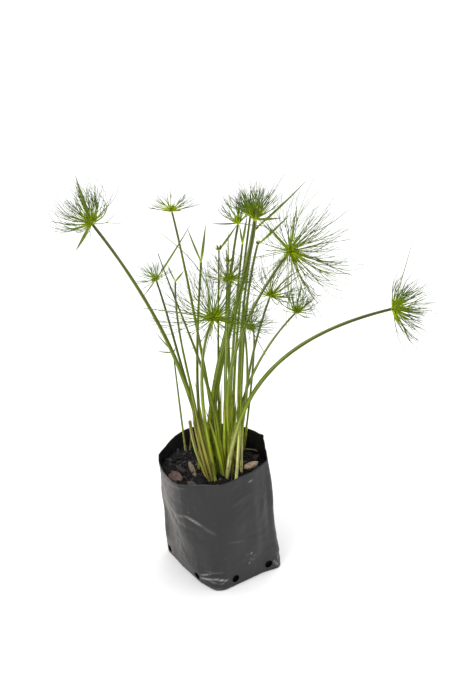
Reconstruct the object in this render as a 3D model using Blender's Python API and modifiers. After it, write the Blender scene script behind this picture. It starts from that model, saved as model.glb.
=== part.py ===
"""A young papyrus growing in a black polythene planter bag.

Metres, +Z up. The origin is the middle of the bag's base, on the ground, and -Y is the side
that is seen first. The tables give places in millimetres.
"""

import math
import random
from typing import NamedTuple

import bmesh
import bpy
import numpy as np
from mathutils import Matrix, Vector

MM = 0.001
GAP = 0.3 * MM  # clearance between pieces that touch

# The bag: a square-bottomed tube of film that opens to a round mouth
BAG_HEIGHT = 170 * MM
BAG_FILM = 0.8 * MM
BASE_SIZE = (106 * MM, 125 * MM)
BASE_CORNER = 9 * MM
BASE_TURN = math.radians(36)
MOUTH_RADIUS = 72.5 * MM
MOUTH_SHIFT = (-14 * MM, 0.0)
MOUTH_RISE = 8 * MM
MOUTH_RISE_TOWARDS = math.radians(20)
BAG_BULGE = 2.5 * MM
BAG_LEVELS = (0.0, 0.08, 0.28, 0.52, 0.76, 1.0)
BAG_SIDES = 32

# How far the film stands outside the round mouth and outside the base's outline: degrees
# from +X and millimetres
MOUTH_CORNERS = (
    (4, -2.6),
    (24, 3.5),
    (38, 2.3),
    (60, 0.5),
    (100, 1.0),
    (117, 3.7),
    (130, 1.4),
    (158, -2.1),
    (172, 0.7),
    (193, -1.5),
    (210, 0.1),
    (230, 4.4),
    (246, -0.8),
    (262, -2.7),
    (277, 0.3),
    (304, -3.7),
    (327, -0.6),
    (342, 5.0),
    (351, 0.0),
)
BASE_CORNERS = (
    (30, 2.0),
    (60, 2.5),
    (85, 0.0),
    (110, 2.5),
    (140, 2.0),
    (167, 0.5),
    (183, 2.4),
    (205, 5.1),
    (241, 6.0),
    (256, 2.3),
    (266, -1.3),
    (275, 0.8),
    (325, -0.4),
    (348, 4.0),
    (358, 1.5),
)

# Drainage holes: which wall (degrees from +X), distance along it and height, in millimetres
HOLE_RADIUS = 5.6 * MM
HOLE_SIDES = 10
HOLE_DEPTH = 22 * MM
NARROW_WALLS = (36, 216)  # the walls half of the base's first side away from its middle
HOLES = (
    (216, 24, 10),
    (216, -50, 9),
    (306, -24, 12),
    (306, 32, 12),
    (36, 20, 9),
    (36, -38, 9),
    (126, 22, 9),
    (126, -32, 9),
)

# The potting mix
MIX_TOP = 145.5 * MM
MIX_MOUND = 2.2 * MM
MIX_LUMPS = 1.0 * MM
LUMP_WAVES = (210, 180)  # radians per metre along X and Y
MIX_RINGS = (0.9, 0.68, 0.42, 0.16)
MIX_INSET = BAG_FILM + 4 * GAP
SOCKET_DEPTH = 11 * MM
SOCKET_RISE = 10 * MM  # how far a socket's cutter stands above the foot
FOOT_LEVEL = 150 * MM
SOCKET_SIDES = 8

CULM_POINTS = 9
SWAY_SCALE = 6.75  # makes a culm's sway whole a third of the way up
CROWD_POINTS = 160
HEAD_STOP = 0.15 * MM  # how far past the gap a culm stops below its hub


class Culm(NamedTuple):
    """A stem: its foot on the mix, the point it bends towards and its tip, in millimetres.

    The sway is how far its lower third stands towards +X of that bend.
    """

    foot: tuple
    bow: tuple
    tip: tuple
    foot_radius: float
    tip_radius: float
    sway: float = 0.0


class Umbel(NamedTuple):
    """What a culm carries: a hub, rays round an axis, and bracts given by their tips."""

    hub: float
    rays: int = 0
    length: float = 0.0
    axis: tuple = (0.0, 0.0, 1.0)
    spread: float = 0.0
    bracts: tuple = ()


CULMS = {
    "far_left": Culm((-22, -2), (-42, -16, 345), (-165, 19, 501), 3.3, 1.8),
    "mid_left": Culm((-12, 10), (-55, 37, 309), (-86, 30, 417), 2.3, 1.2, -5),
    "forked_left": Culm((-32, -1), (-62, -77, 317), (-60, 1, 428), 2.1, 1.1, 14),
    "spear": Culm((-8, -10), (-32, -48, 329), (-78, -60, 495), 3.1, 0.5, 13),
    "top_left": Culm((-5, 40), (-44, 88, 384), (-67, 100, 483), 2.2, 1.3),
    "forked_mid": Culm((-22, 20), (-43, 36, 225), (-27, 0, 456), 2.5, 1.4),
    "low_front": Culm((-10, -18), (-42, -75, 345), (-11, -105, 430), 2.6, 1.6),
    "bud": Culm((-4, 47), (-8, 74, 265), (-5, 70, 440), 1.9, 1.0),
    "inner_low": Culm((3, 8), (3, -20, 313), (8, -45, 453), 2.2, 1.4),
    "inner_bud": Culm((3, 54), (2, 52, 335), (7, 40, 437), 1.9, 1.2),
    "top_mid": Culm((21, 30), (-6, 71, 329), (20, 60, 483), 2.5, 1.5),
    "forked_top": Culm((7, 23), (11, 21, 332), (25, 15, 474), 2.3, 1.3),
    "crown": Culm((-12, 31), (21, 30, 320), (41, 40, 497), 4.6, 2.7, -16),
    "crown_back": Culm((16, 45), (9, 111, 238), (36, 95, 478), 2.3, 1.4),
    "blade_high": Culm((24, 17), (14, 70, 300), (41, 58, 475), 2.3, 1.4),
    "blade_low": Culm((18, -26), (8, -11, 324), (44, 12, 474), 2.5, 1.5, 7),
    "right_open": Culm((20, -3), (-27, -67, 341), (79, -110, 521), 2.7, 1.5),
    "right_mid": Culm((25, -9), (16, 18, 255), (61, 10, 403), 2.3, 1.3, 2),
    "right_low": Culm((17, 5), (37, -15, 327), (92, -40, 405), 2.2, 1.2, -8),
    "far_right": Culm((6, -24), (-9, -54, 358), (213, -36, 408), 3.3, 1.9, 9),
    "back_low": Culm((9, 1), (42, -28, 260), (27, -12, 371), 2.1, 1.3),
    "thin_right": Culm((29, 48), (49, 55, 336), (37, 30, 346), 1.7, 1.0),
    "thin_left": Culm((-52, 48), (-60, 50, 225), (-66, 45, 302), 1.7, 0.9),
    "cut": Culm((-19, -29), (-37, -28, 183), (-43, -28, 239), 2.6, 2.2),
    "stub": Culm((-45, 48), (-44, 48, 165), (-43, 48, 182), 1.7, 1.4),
}
NEW_SHOOT = Culm((-10, -32), (-12, -32, 160), (-14, -32, 176), 2.4, 0.8)

UMBELS = {
    "far_left": Umbel(4.0, 18, 60, (-0.45, -0.1, 0.88), 88, ((-17, 0, 64), (-20, -10, -34))),
    "mid_left": Umbel(3.0, 14, 30, (-0.35, -0.15, 0.92), 85, ((45, 0, 76), (-16, -8, -20))),
    "forked_left": Umbel(2.2, bracts=((-10, 0, 24), (11, 0, 15))),
    "top_left": Umbel(3.6, 18, 38, (-0.08, 0.2, 0.97), 80, ((13, -4, 2),)),
    "forked_mid": Umbel(2.2, bracts=((-17, 0, 46), (6, 0, 51))),
    "low_front": Umbel(4.5, 22, 82, (0, -0.35, 0.93), 98, ((-85, -12, 20), (-61, 0, 112))),
    "bud": Umbel(1.8, 5, 9, (0, 0, 1), 60, ((24, 0, 37),)),
    "inner_low": Umbel(3.4, 16, 28, (0, -0.2, 0.98), 80),
    "inner_bud": Umbel(2.2, 5, 9, (0, 0, 1), 70, ((0, 0, 47),)),
    "top_mid": Umbel(3.4, 14, 44, (-0.15, 0.1, 0.98), 60, ((-33, 0, -1), (40, -6, -2))),
    "forked_top": Umbel(1.8, bracts=((-4, 0, 26), (6, 0, 40))),
    "crown": Umbel(5.0, 20, 64, (0.05, 0.05, 1), 52, ((33, -6, 4),)),
    "crown_back": Umbel(3.2, 14, 44, (-0.2, 0.2, 0.95), 60, ((-14, 0, 32),)),
    "blade_high": Umbel(2.0, 4, 8, (0.3, 0, 0.95), 60, ((64, 4, 64),)),
    "blade_low": Umbel(2.0, 4, 7, (0.3, 0, 0.95), 60, ((40, -3, 43),)),
    "right_open": Umbel(4.5, 22, 90, (0.5, -0.5, 0.7), 88, ((-30, 0, 38), (7, 4, 56))),
    "right_mid": Umbel(3.4, 16, 62, (0.3, -0.15, 0.94), 80, ((47, 0, 43), (33, -8, 2))),
    "right_low": Umbel(3.0, 14, 40, (0.45, -0.15, 0.88), 75),
    "far_right": Umbel(4.0, 20, 60, (0.95, -0.15, 0.25), 84, ((20, 0, 96),)),
    "back_low": Umbel(2.6, 12, 46, (-0.1, -0.3, 0.95), 90),
    "thin_right": Umbel(2.6, 12, 46, (0.3, -0.2, 0.93), 90, ((24, -10, -44),)),
    "thin_left": Umbel(2.0, 4, 8, (-0.3, 0, 0.95), 60, ((-23, 0, 30), (-20, -3, 3))),
}
LARGE_HUB = 2.5  # hubs from this radius up, in millimetres, are spheres of 80 faces, not 20
RAY_CURL = 0.22  # how far a ray's tip turns in towards the axis
RAY_STEPS = (0.45, 1.0)
RAY_RADII = (0.85, 0.3)
BRACT_STEPS = (0.3, 0.7, 1.0)
BRACT_RADII = (1.3, 0.9, 0.3)
BRACT_BOW = 0.4  # how far out a bract starts to bend, as a share of its length
SKIP_POINTS = 3  # points of a line that lie inside its hub
RAY_CLEARANCE = 0.6
RAY_TRIES = 14
RAY_SWING = 0.14  # how much further a ray may swing aside at each new try
RAY_SHRINK = 0.035  # how much shorter it gets at each new try
RAY_APART = math.radians(14)
OWN_ROOM = 5.0  # rays of one hub may touch this close to it
POINT_SPACING = 1.6
BRACT_POINTS = 40
CULM_KEEP_CLEAR = math.radians(38)

# Bark and a dry twig on the mix: middle, half sizes, turn and lean, in millimetres and degrees
BARK = {
    "bark_round": ((-64, -22), (12, 7.0, 2.6), -47, 28),
    "bark_curved": ((-57, -5), (10.5, 3.6, 2.8), -52, 15),
    "bark_stick": ((-41.5, -3), (19, 3.4, 2.6), -75, 4),
    "bark_tan": ((38, 4), (12.5, 4.6, 3.0), 40, 16),
    "bark_flat": ((-42, -39), (7.5, 4.2, 2.0), -30, 6),
    "bark_small": ((45, 26), (7, 4.3, 2.4), 62, -6),
}
TWIG = ((31, 44, 150.5), (40, 41, 151.8), (48, 38, 150.5))
TWIG_RADIUS = 0.8
BARK_SINK = 0.45  # how far a piece's middle lies below the mix, as a share of its half height
BARK_ROUGH = (0.86, 1.12)
BARK_TILT = math.radians(3)
BED_GAP = 1.8 * GAP  # a flat facet of a scaled copy stands off less than its corners

COLOURS = {
    "polythene": ((0.060, 0.060, 0.062), 0.45),
    "potting_mix": ((0.018, 0.014, 0.011), 0.95),
    "bark": ((0.16, 0.10, 0.07), 0.85),
    "dry_twig": ((0.42, 0.36, 0.24), 0.8),
    "culm_green": ((0.20, 0.34, 0.08), 0.5),
    "umbel_green": ((0.24, 0.38, 0.05), 0.55),
}


def clear_scene():
    """Remove every object that the file opened with."""
    for item in list(bpy.data.objects):
        bpy.data.objects.remove(item)


def new_collection(name):
    """A collection linked to the scene."""
    made = bpy.data.collections.new(name)
    bpy.context.scene.collection.children.link(made)
    return made


def make_materials():
    """One Principled material for each colour in the table."""
    made = {}
    for name, (colour, roughness) in COLOURS.items():
        material = bpy.data.materials.new(name)
        material.use_nodes = True
        shader = material.node_tree.nodes["Principled BSDF"]
        shader.inputs["Base Color"].default_value = (*colour, 1)
        shader.inputs["Roughness"].default_value = roughness
        shader.inputs["Metallic"].default_value = 0
        material.diffuse_color = (*colour, 1)
        made[name] = material
    return made


def add_mesh(bm, name, collection, material=None):
    """Turn a bmesh into a named object."""
    bmesh.ops.recalc_face_normals(bm, faces=bm.faces)
    mesh = bpy.data.meshes.new(name)
    bm.to_mesh(mesh)
    bm.free()
    item = bpy.data.objects.new(name, mesh)
    collection.objects.link(item)
    if material:
        mesh.materials.append(material)
    return item


def hide_cutter(item):
    """Mark an object as a cutter, which is drawn as wire and not rendered."""
    item.hide_render = True
    item.display_type = "WIRE"


def cut(item, cutter):
    """Subtract a cutter from an object."""
    modifier = item.modifiers.new("cut", "BOOLEAN")
    modifier.operation = "DIFFERENCE"
    modifier.solver = "EXACT"
    modifier.use_self = True
    modifier.object = cutter


# The bag's film


def rounded_rectangle(share):
    """A point at this share of the way round the bag's base, and its outward direction."""
    half_x, half_y = (side / 2 for side in BASE_SIZE)
    straight_x = 2 * (half_x - BASE_CORNER)
    straight_y = 2 * (half_y - BASE_CORNER)
    bend = math.pi / 2 * BASE_CORNER
    way = share * 2 * (straight_x + straight_y + 2 * bend)
    corner_x, corner_y = half_x - BASE_CORNER, half_y - BASE_CORNER
    # Start at the middle of the +X wall and go round anticlockwise
    runs = (
        (straight_y / 2, (half_x, 0), 0),
        (bend, (corner_x, corner_y), 0),
        (straight_x, (corner_x, half_y), 90),
        (bend, (-corner_x, corner_y), 90),
        (straight_y, (-half_x, corner_y), 180),
        (bend, (-corner_x, -corner_y), 180),
        (straight_x, (-corner_x, -half_y), 270),
        (bend, (corner_x, -corner_y), 270),
        (straight_y / 2 + bend, (half_x, -corner_y), 360),
    )
    for number, (length, start, facing) in enumerate(runs):
        if way <= length:
            break
        way -= length
    angle = math.radians(facing)
    if number % 2:
        angle += way / BASE_CORNER
        out = Vector((math.cos(angle), math.sin(angle)))
        return Vector(start) + out * BASE_CORNER, out
    out = Vector((math.cos(angle), math.sin(angle)))
    along = Vector((-out.y, out.x))
    return Vector(start) + along * way, out


def stand_off(corners, angle):
    """How far the film stands outside a plain outline at this angle."""
    angles, offsets = zip(*corners)
    return float(np.interp(math.degrees(angle) % 360, angles, offsets, period=360)) * MM


def film_point(share, level, inset=0.0):
    """A point of the bag's outer surface, moved in by an inset, at a level from 0 to 1."""
    base, base_out = rounded_rectangle(share)
    base.rotate(Matrix.Rotation(BASE_TURN, 2))
    base_out.rotate(Matrix.Rotation(BASE_TURN, 2))
    angle = share * math.tau + BASE_TURN
    base += base_out * stand_off(BASE_CORNERS, angle)
    mouth_out = Vector((math.cos(angle), math.sin(angle)))
    mouth = mouth_out * (MOUTH_RADIUS + stand_off(MOUTH_CORNERS, angle)) + Vector(MOUTH_SHIFT)
    out = base_out.lerp(mouth_out, level).normalized()
    bulge = BAG_BULGE * math.sin(math.pi * level)
    flat = base.lerp(mouth, level) + out * (bulge - inset)
    rise = MOUTH_RISE * level * math.cos(angle - MOUTH_RISE_TOWARDS)
    return Vector((flat.x, flat.y, BAG_HEIGHT * level + rise))


def film_ring(level, inset=0.0):
    """The bag's outline at one level."""
    return [film_point(number / BAG_SIDES, level, inset) for number in range(BAG_SIDES)]


def loft(rings):
    """A surface through rings of points, closed at its first ring and open at its last."""
    bm = bmesh.new()
    bmesh.ops.create_circle(bm, cap_ends=True, segments=len(rings[0]), radius=1)
    edge_loop = list(bm.edges)
    corners = list(bm.verts)
    for number, ring in enumerate(rings):
        if number:
            grown = bmesh.ops.extrude_edge_only(bm, edges=edge_loop)["geom"]
            edge_loop = [item for item in grown if isinstance(item, bmesh.types.BMEdge)]
            edge_loop = [edge for edge in edge_loop if edge.is_boundary]
            corners = follow(corners, edge_loop)
        for corner, place in zip(corners, ring):
            corner.co = place
    return bm, edge_loop


def follow(corners, edge_loop):
    """The new ring's corners, in the order of the old ones that they grew from."""
    fresh = {corner for edge in edge_loop for corner in edge.verts}
    return [
        next(edge.other_vert(corner) for edge in corner.link_edges if edge.other_vert(corner) in fresh)
        for corner in corners
    ]


def hole_cutters(collection):
    """One object with a short rod through the film at each drainage hole."""
    bm = bmesh.new()
    for wall, along, height in HOLES:
        angle = math.radians(wall)
        out = Vector((math.cos(angle), math.sin(angle), 0))
        side = Vector((-out.y, out.x, 0))
        reach = BASE_SIZE[0 if wall in NARROW_WALLS else 1] / 2
        middle = out * reach + side * along * MM + Vector((0, 0, height * MM))
        turn = out.to_track_quat("Z", "Y").to_matrix().to_4x4()
        bmesh.ops.create_cone(
            bm,
            cap_ends=True,
            segments=HOLE_SIDES,
            radius1=HOLE_RADIUS,
            radius2=HOLE_RADIUS,
            depth=HOLE_DEPTH,
            matrix=Matrix.Translation(middle) @ turn,
        )
    cutters = add_mesh(bm, "drainage_cutters", collection)
    hide_cutter(cutters)
    return cutters


def make_bag(collection, cutters, material):
    """The planter bag: an open skin given its thickness inwards, with the holes cut."""
    bm, _ = loft([film_ring(level) for level in BAG_LEVELS])
    bag = add_mesh(bm, "grow_bag", collection, material)
    wall = bag.modifiers.new("film", "SOLIDIFY")
    wall.thickness = BAG_FILM
    wall.offset = -1
    wall.use_even_offset = True
    cut(bag, hole_cutters(cutters))
    return bag


# The potting mix and what lies on it


def mix_surface(ring, share):
    """A point of the mix's top: a low mound with small lumps, ring 1 at the film."""
    edge = film_point(share, MIX_TOP / BAG_HEIGHT, MIX_INSET)
    middle = Vector(MOUTH_SHIFT) * (MIX_TOP / BAG_HEIGHT)
    flat = middle.lerp(edge.xy, ring)
    lumps = math.sin(flat.x * LUMP_WAVES[0] + 1.3) * math.sin(flat.y * LUMP_WAVES[1] + 0.4)
    height = MIX_TOP + MIX_MOUND * (1 - ring**2) + MIX_LUMPS * lumps * (1 - ring**4)
    return Vector((flat.x, flat.y, height))


def make_mix(collection, cutters, material):
    """The potting mix: it fills the bag, and has a socket for each foot and bed for each chip."""
    levels = [level for level in BAG_LEVELS if level * BAG_HEIGHT < MIX_TOP]
    rings = [film_ring(level, MIX_INSET) for level in levels]
    for corner in rings[0]:
        corner.z = BAG_FILM + GAP
    for ring in (1.0, *MIX_RINGS):
        rings.append([mix_surface(ring, number / BAG_SIDES) for number in range(BAG_SIDES)])
    bm, edge_loop = loft(rings)
    bmesh.ops.contextual_create(bm, geom=edge_loop)
    mix = add_mesh(bm, "potting_mix", collection, material)
    cut(mix, socket_cutters(cutters))
    return mix


def socket_cutters(collection):
    """One object with a rod for each foot and a slightly larger copy of each chip."""
    bm = bmesh.new()
    for culm in (*CULMS.values(), NEW_SHOOT):
        radius = (culm.foot_radius * MM + GAP) / math.cos(math.pi / SOCKET_SIDES)
        bottom = FOOT_LEVEL - SOCKET_DEPTH - GAP
        top = FOOT_LEVEL + SOCKET_RISE
        middle = Vector((culm.foot[0] * MM, culm.foot[1] * MM, (bottom + top) / 2))
        bmesh.ops.create_cone(
            bm,
            cap_ends=True,
            segments=SOCKET_SIDES,
            radius1=radius,
            radius2=radius,
            depth=top - bottom,
            matrix=Matrix.Translation(middle),
        )
    for name in BARK:
        add_chip(bm, name, grown=BED_GAP)
    made = add_mesh(bm, "socket_cutters", collection)
    hide_cutter(made)
    return made


def add_chip(bm, name, grown=0.0):
    """A flat angular flake of bark, made bigger all round by what is asked."""
    (x, y), half_sizes, turn, lean = BARK[name]
    roll = random.Random(name)
    share = math.atan2(y, x) / math.tau
    level = mix_surface(0.5, share).z + (1 - BARK_SINK) * half_sizes[2] * MM
    made = bmesh.ops.create_icosphere(bm, subdivisions=1, radius=1)["verts"]
    for corner in made:
        rough = roll.uniform(*BARK_ROUGH)
        for axis in range(3):
            corner.co[axis] *= half_sizes[axis] * MM * rough + grown
    place = Matrix.Translation((x * MM, y * MM, level))
    tilt = Matrix.Rotation(math.radians(lean) + roll.uniform(-BARK_TILT, BARK_TILT), 4, "X")
    bmesh.ops.transform(
        bm, matrix=place @ Matrix.Rotation(math.radians(turn), 4, "Z") @ tilt, verts=made
    )


def make_bark(collection, material):
    """Each piece of bark in its bed in the mix."""
    for name in BARK:
        bm = bmesh.new()
        add_chip(bm, name)
        add_mesh(bm, name, collection, material)


def add_tube(name, places, radii, collection, material, resolution=1):
    """A round bar along the places, with a radius at each."""
    curve = bpy.data.curves.new(name, "CURVE")
    curve.dimensions = "3D"
    curve.bevel_depth = 1
    curve.bevel_resolution = resolution
    curve.use_fill_caps = True
    spline = curve.splines.new("POLY")
    spline.points.add(len(places) - 1)
    for point, place, radius in zip(spline.points, places, radii):
        point.co = (*place, 1)
        point.radius = radius
    curve.materials.append(material)
    item = bpy.data.objects.new(name, curve)
    collection.objects.link(item)
    return item


# Culms


def bend_point(start, bow, end, share):
    """A point of the curve from start to end that bends towards bow."""
    return start * (1 - share) ** 2 + bow * 2 * share * (1 - share) + end * share**2


def culm_line(culm, head_gap=0.0, count=CULM_POINTS):
    """Places and radii along a culm, from the foot of its socket to just below its hub."""
    start = Vector((culm.foot[0] * MM, culm.foot[1] * MM, FOOT_LEVEL))
    bow, end = Vector(culm.bow) * MM, Vector(culm.tip) * MM
    end += (bow - end).normalized() * head_gap
    shares = [number / (count - 1) for number in range(count)]
    places = [bend_point(start, bow, end, share) for share in shares]
    for place, share in zip(places, shares):
        place.x += culm.sway * MM * SWAY_SCALE * share * (1 - share) ** 2
    places.insert(0, start - Vector((0, 0, SOCKET_DEPTH)))
    radii = [culm.foot_radius + (culm.tip_radius - culm.foot_radius) * share for share in shares]
    radii.insert(0, culm.foot_radius)
    return places, [radius * MM for radius in radii]


def head_gap(name):
    """How far a culm stops short of its umbel's middle."""
    if name not in UMBELS:
        return 0.0
    return UMBELS[name].hub * MM + GAP + HEAD_STOP


def make_culms(collection, material):
    """Every culm and the short new shoot, each a tapering bar."""
    for name, culm in CULMS.items():
        places, radii = culm_line(culm, head_gap(name))
        add_tube(f"culm_{name}", places, radii, collection, material)
    places, radii = culm_line(NEW_SHOOT, count=4)
    add_tube("new_shoot", places, radii, collection, material)


# Umbels


class Crowd:
    """What rays keep clear of: points along everything that has grown so far."""

    def __init__(self):
        self.points = np.empty((0, 3))
        self.radii = np.empty(0)
        self.hubs = np.empty(0, int)

    def add(self, places, radii, hub):
        """Take in a line of points, the radius at each and the number of its hub."""
        self.points = np.vstack((self.points, places))
        self.radii = np.concatenate((self.radii, radii))
        self.hubs = np.concatenate((self.hubs, np.full(len(radii), hub)))

    def room(self, places, radii, hub, centre, near):
        """The least space left round a line of points.

        Near the line's own hub, what grew from the same hub isn't counted.
        """
        gaps = np.linalg.norm(places[:, None] - self.points[None], axis=2)
        gaps -= radii[:, None] + self.radii[None]
        close = np.linalg.norm(places - centre, axis=1) < near
        gaps[np.ix_(close, self.hubs == hub)] = np.inf
        return gaps.min()


def culm_crowd():
    """Points every few millimetres along all culms, and over the hubs."""
    crowd = Crowd()
    for number, (name, culm) in enumerate(CULMS.items()):
        places, radii = culm_line(culm, head_gap(name), CROWD_POINTS)
        crowd.add(np.array(places[1:]) / MM, np.array(radii[1:]) / MM, number)
    for number, (name, culm) in enumerate(CULMS.items()):
        if name in UMBELS:
            crowd.add(np.array([culm.tip], float), np.array([UMBELS[name].hub]), number)
    return crowd


def ray_line(centre, start, axis, length, swing, count):
    """Points of a ray that leaves its hub along start and curls in towards the axis."""
    shares = np.linspace(0, 1, count)[:, None]
    curl = RAY_CURL * shares
    heading = start * (1 - curl) + (axis + swing) * curl
    heading /= np.linalg.norm(heading, axis=1)[:, None]
    return centre + heading * length * shares


def line_at(line, share):
    """The point at a share of the way along a line of points."""
    place = share * (len(line) - 1)
    low = min(int(place), len(line) - 2)
    return line[low] + (line[low + 1] - line[low]) * (place - low)


def bract_line(centre, start, tip):
    """Points of a bract that leaves its hub along start and ends at its tip."""
    shares = np.linspace(0, 1, BRACT_POINTS)[:, None]
    bow = centre + start * np.linalg.norm(tip) * BRACT_BOW
    end = centre + tip
    return centre * (1 - shares) ** 2 + bow * 2 * shares * (1 - shares) + end * shares**2


def thickness_along(radii, count):
    """A radius at each point of a line, thinning from the first radius to the last."""
    return np.linspace(radii[0], radii[-1], count)


def grow(bm, face, line, steps, radii):
    """Extrude a hub's face along a line, thinning it at each step."""
    for share, radius in zip(steps, radii):
        before = face.calc_center_median()
        face = bmesh.ops.extrude_discrete_faces(bm, faces=[face])["faces"][0]
        face.normal_update()
        place = Vector(line_at(line, share)) * MM
        turn = face.normal.rotation_difference((place - before).normalized())
        size = (face.verts[0].co - before).length
        for corner in face.verts:
            corner.co = place + turn @ (corner.co - before) * (radius * MM / size)


def spread_out(faces, taken, count):
    """Choose faces that lie as far as they can from each other and from those taken."""
    chosen = []
    faces = list(faces)
    headings = {face: face.calc_center_median().normalized() for face in faces}
    held = list(taken)
    while faces and len(chosen) < count:
        best = max(faces, key=lambda face: min((headings[face].angle(h) for h in held), default=0))
        if held and min(headings[best].angle(h) for h in held) < RAY_APART:
            break
        chosen.append(best)
        held.append(headings[best])
        faces.remove(best)
    return chosen


def make_umbel(name, number, crowd, collection, material):
    """A hub with its bracts and its main rays, each grown from a face of the hub."""
    culm, umbel = CULMS[name], UMBELS[name]
    roll = random.Random(name)
    centre = np.array(culm.tip, float)
    axis = Vector(umbel.axis).normalized()
    down = (Vector(culm.bow) - Vector(culm.tip)).normalized()
    bm = bmesh.new()
    fineness = 2 if umbel.hub > LARGE_HUB else 1
    bmesh.ops.create_icosphere(bm, subdivisions=fineness, radius=umbel.hub * MM)
    spin = Matrix.Rotation(roll.uniform(0, math.tau), 3, "Z")
    bmesh.ops.rotate(bm, verts=bm.verts, matrix=axis.to_track_quat("Z", "Y").to_matrix() @ spin)
    bm.faces.ensure_lookup_table()
    open_faces = [
        face
        for face in bm.faces
        if face.calc_center_median().angle(down) > CULM_KEEP_CLEAR
    ]
    plans = []
    taken = []
    for tip in umbel.bracts:
        heading = Vector(tip).normalized()
        face = min(open_faces, key=lambda item: item.calc_center_median().angle(heading))
        open_faces.remove(face)
        start = face.calc_center_median().normalized()
        taken.append(start)
        line = bract_line(centre, np.array(start), np.array(tip, float))
        crowd.add(line[SKIP_POINTS:], thickness_along(BRACT_RADII, BRACT_POINTS)[SKIP_POINTS:], number)
        plans.append((face, line, BRACT_STEPS, BRACT_RADII))
    capped = [
        face
        for face in open_faces
        if face.calc_center_median().angle(axis) < math.radians(umbel.spread)
    ]
    for face in spread_out(capped, taken, umbel.rays):
        line = free_ray(face, axis, centre, umbel, number, crowd, roll)
        if line is None:
            continue
        crowd.add(line[SKIP_POINTS:], thickness_along(RAY_RADII, len(line))[SKIP_POINTS:], number)
        plans.append((face, line, RAY_STEPS, RAY_RADII))
    for face, line, steps, radii in plans:
        grow(bm, face, line - centre, steps, radii)
    bmesh.ops.translate(bm, verts=bm.verts, vec=Vector(culm.tip) * MM)
    return add_mesh(bm, f"umbel_{name}", collection, material)


def free_ray(face, axis, centre, umbel, number, crowd, roll):
    """A ray from this face that clears everything, or None where there is no room."""
    start = np.array(face.calc_center_median().normalized())
    full = umbel.length * roll.uniform(0.82, 1.0)
    for attempt in range(RAY_TRIES):
        length = full * (1 - RAY_SHRINK * attempt)
        swing = np.array([roll.uniform(-RAY_SWING, RAY_SWING) * attempt for _ in range(3)])
        count = max(2 * SKIP_POINTS, int(length / POINT_SPACING))
        line = ray_line(centre, start, np.array(axis), length, swing, count)
        outer, radii = line[SKIP_POINTS:], thickness_along(RAY_RADII, count)[SKIP_POINTS:]
        if crowd.room(outer, radii, number, centre, umbel.hub + OWN_ROOM) > RAY_CLEARANCE:
            return line
    return None


def make_umbels(collection, material):
    """The heads of all culms that carry one."""
    crowd = culm_crowd()
    numbers = {name: number for number, name in enumerate(CULMS)}
    for name in UMBELS:
        make_umbel(name, numbers[name], crowd, collection, material)


def main():
    clear_scene()
    papyrus = new_collection("potted_papyrus")
    cutters = new_collection("cutters")
    materials = make_materials()
    make_bag(papyrus, cutters, materials["polythene"])
    make_mix(papyrus, cutters, materials["potting_mix"])
    make_bark(papyrus, materials["bark"])
    twig = [Vector(place) * MM for place in TWIG]
    radii = [TWIG_RADIUS * MM] * len(twig)
    add_tube("pale_twig", twig, radii, papyrus, materials["dry_twig"])
    make_culms(papyrus, materials["culm_green"])
    make_umbels(papyrus, materials["umbel_green"])


main()
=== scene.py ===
"""A young papyrus in a black polythene planter bag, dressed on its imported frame.

Metres, +Z up, and the tables of places in millimetres. -Y is the side that is seen first.
"""

import functools
import math
import random
from typing import NamedTuple

import bmesh
import bpy
import numpy as np
from bpy.props import FloatProperty, FloatVectorProperty, IntProperty, PointerProperty
from mathutils import Euler, Matrix, Vector, noise


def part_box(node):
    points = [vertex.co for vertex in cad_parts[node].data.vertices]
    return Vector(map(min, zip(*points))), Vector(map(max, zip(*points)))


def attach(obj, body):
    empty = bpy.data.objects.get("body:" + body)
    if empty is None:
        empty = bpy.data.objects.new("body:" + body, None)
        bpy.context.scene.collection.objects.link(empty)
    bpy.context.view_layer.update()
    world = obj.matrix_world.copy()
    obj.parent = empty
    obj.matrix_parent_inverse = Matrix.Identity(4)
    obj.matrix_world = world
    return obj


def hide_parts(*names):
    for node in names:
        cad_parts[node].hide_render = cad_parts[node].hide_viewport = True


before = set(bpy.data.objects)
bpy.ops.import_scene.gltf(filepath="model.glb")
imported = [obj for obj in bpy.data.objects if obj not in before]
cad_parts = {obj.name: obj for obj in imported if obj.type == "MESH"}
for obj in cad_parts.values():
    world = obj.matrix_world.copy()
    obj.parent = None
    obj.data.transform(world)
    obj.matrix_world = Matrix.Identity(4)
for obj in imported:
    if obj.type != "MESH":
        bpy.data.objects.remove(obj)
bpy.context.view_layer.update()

bl_info = {
    "name": "Potted papyrus",
    "version": (1, 0, 0),
    "blender": (4, 5, 0),
    "location": "3D View > Sidebar > Papyrus",
    "description": "Dresses a papyrus in a planter bag: film, potting mix, bark, culms and umbels",
    "category": "Add Mesh",
}

MM = 0.001
WELD = 0.01 * MM  # points nearer than this are joined

# The bag, as the frame has it
BAG_HEIGHT = 170 * MM
BASE_SIZE = (106 * MM, 125 * MM)
BASE_CORNER = 9 * MM
BASE_TURN = math.radians(36)
MOUTH_RADIUS = 72.5 * MM
MOUTH_SHIFT = (-14 * MM, 0.0)
MOUTH_RISE = 8 * MM
MOUTH_RISE_TOWARDS = math.radians(20)
BAG_BULGE = 2.5 * MM
FILM_GIRTH = 462 * MM  # round the bag, for distances along the film
FILM_GRID = (216, 96)
BASE_SHARE = 0.16  # share of the film's grid that makes the base
BASE_PUFF = 0.9 * MM
LOOSE_LEVEL = 0.86  # share of the bag's height above which the film hangs loose
SAG_WAVES = 26  # waves for each metre, here and below
CRINKLE_WAVES = 75
PATCH_WAVES = 17
GRAIN_WAVES = 190
SET_IN = 9  # what grows from nothing at a grid's edge is whole after a ninth of its way
NARROW_WALLS = (36, 216)
HOLE_DEPTH = 22 * MM
HOLE_SIDES = 28

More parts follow.
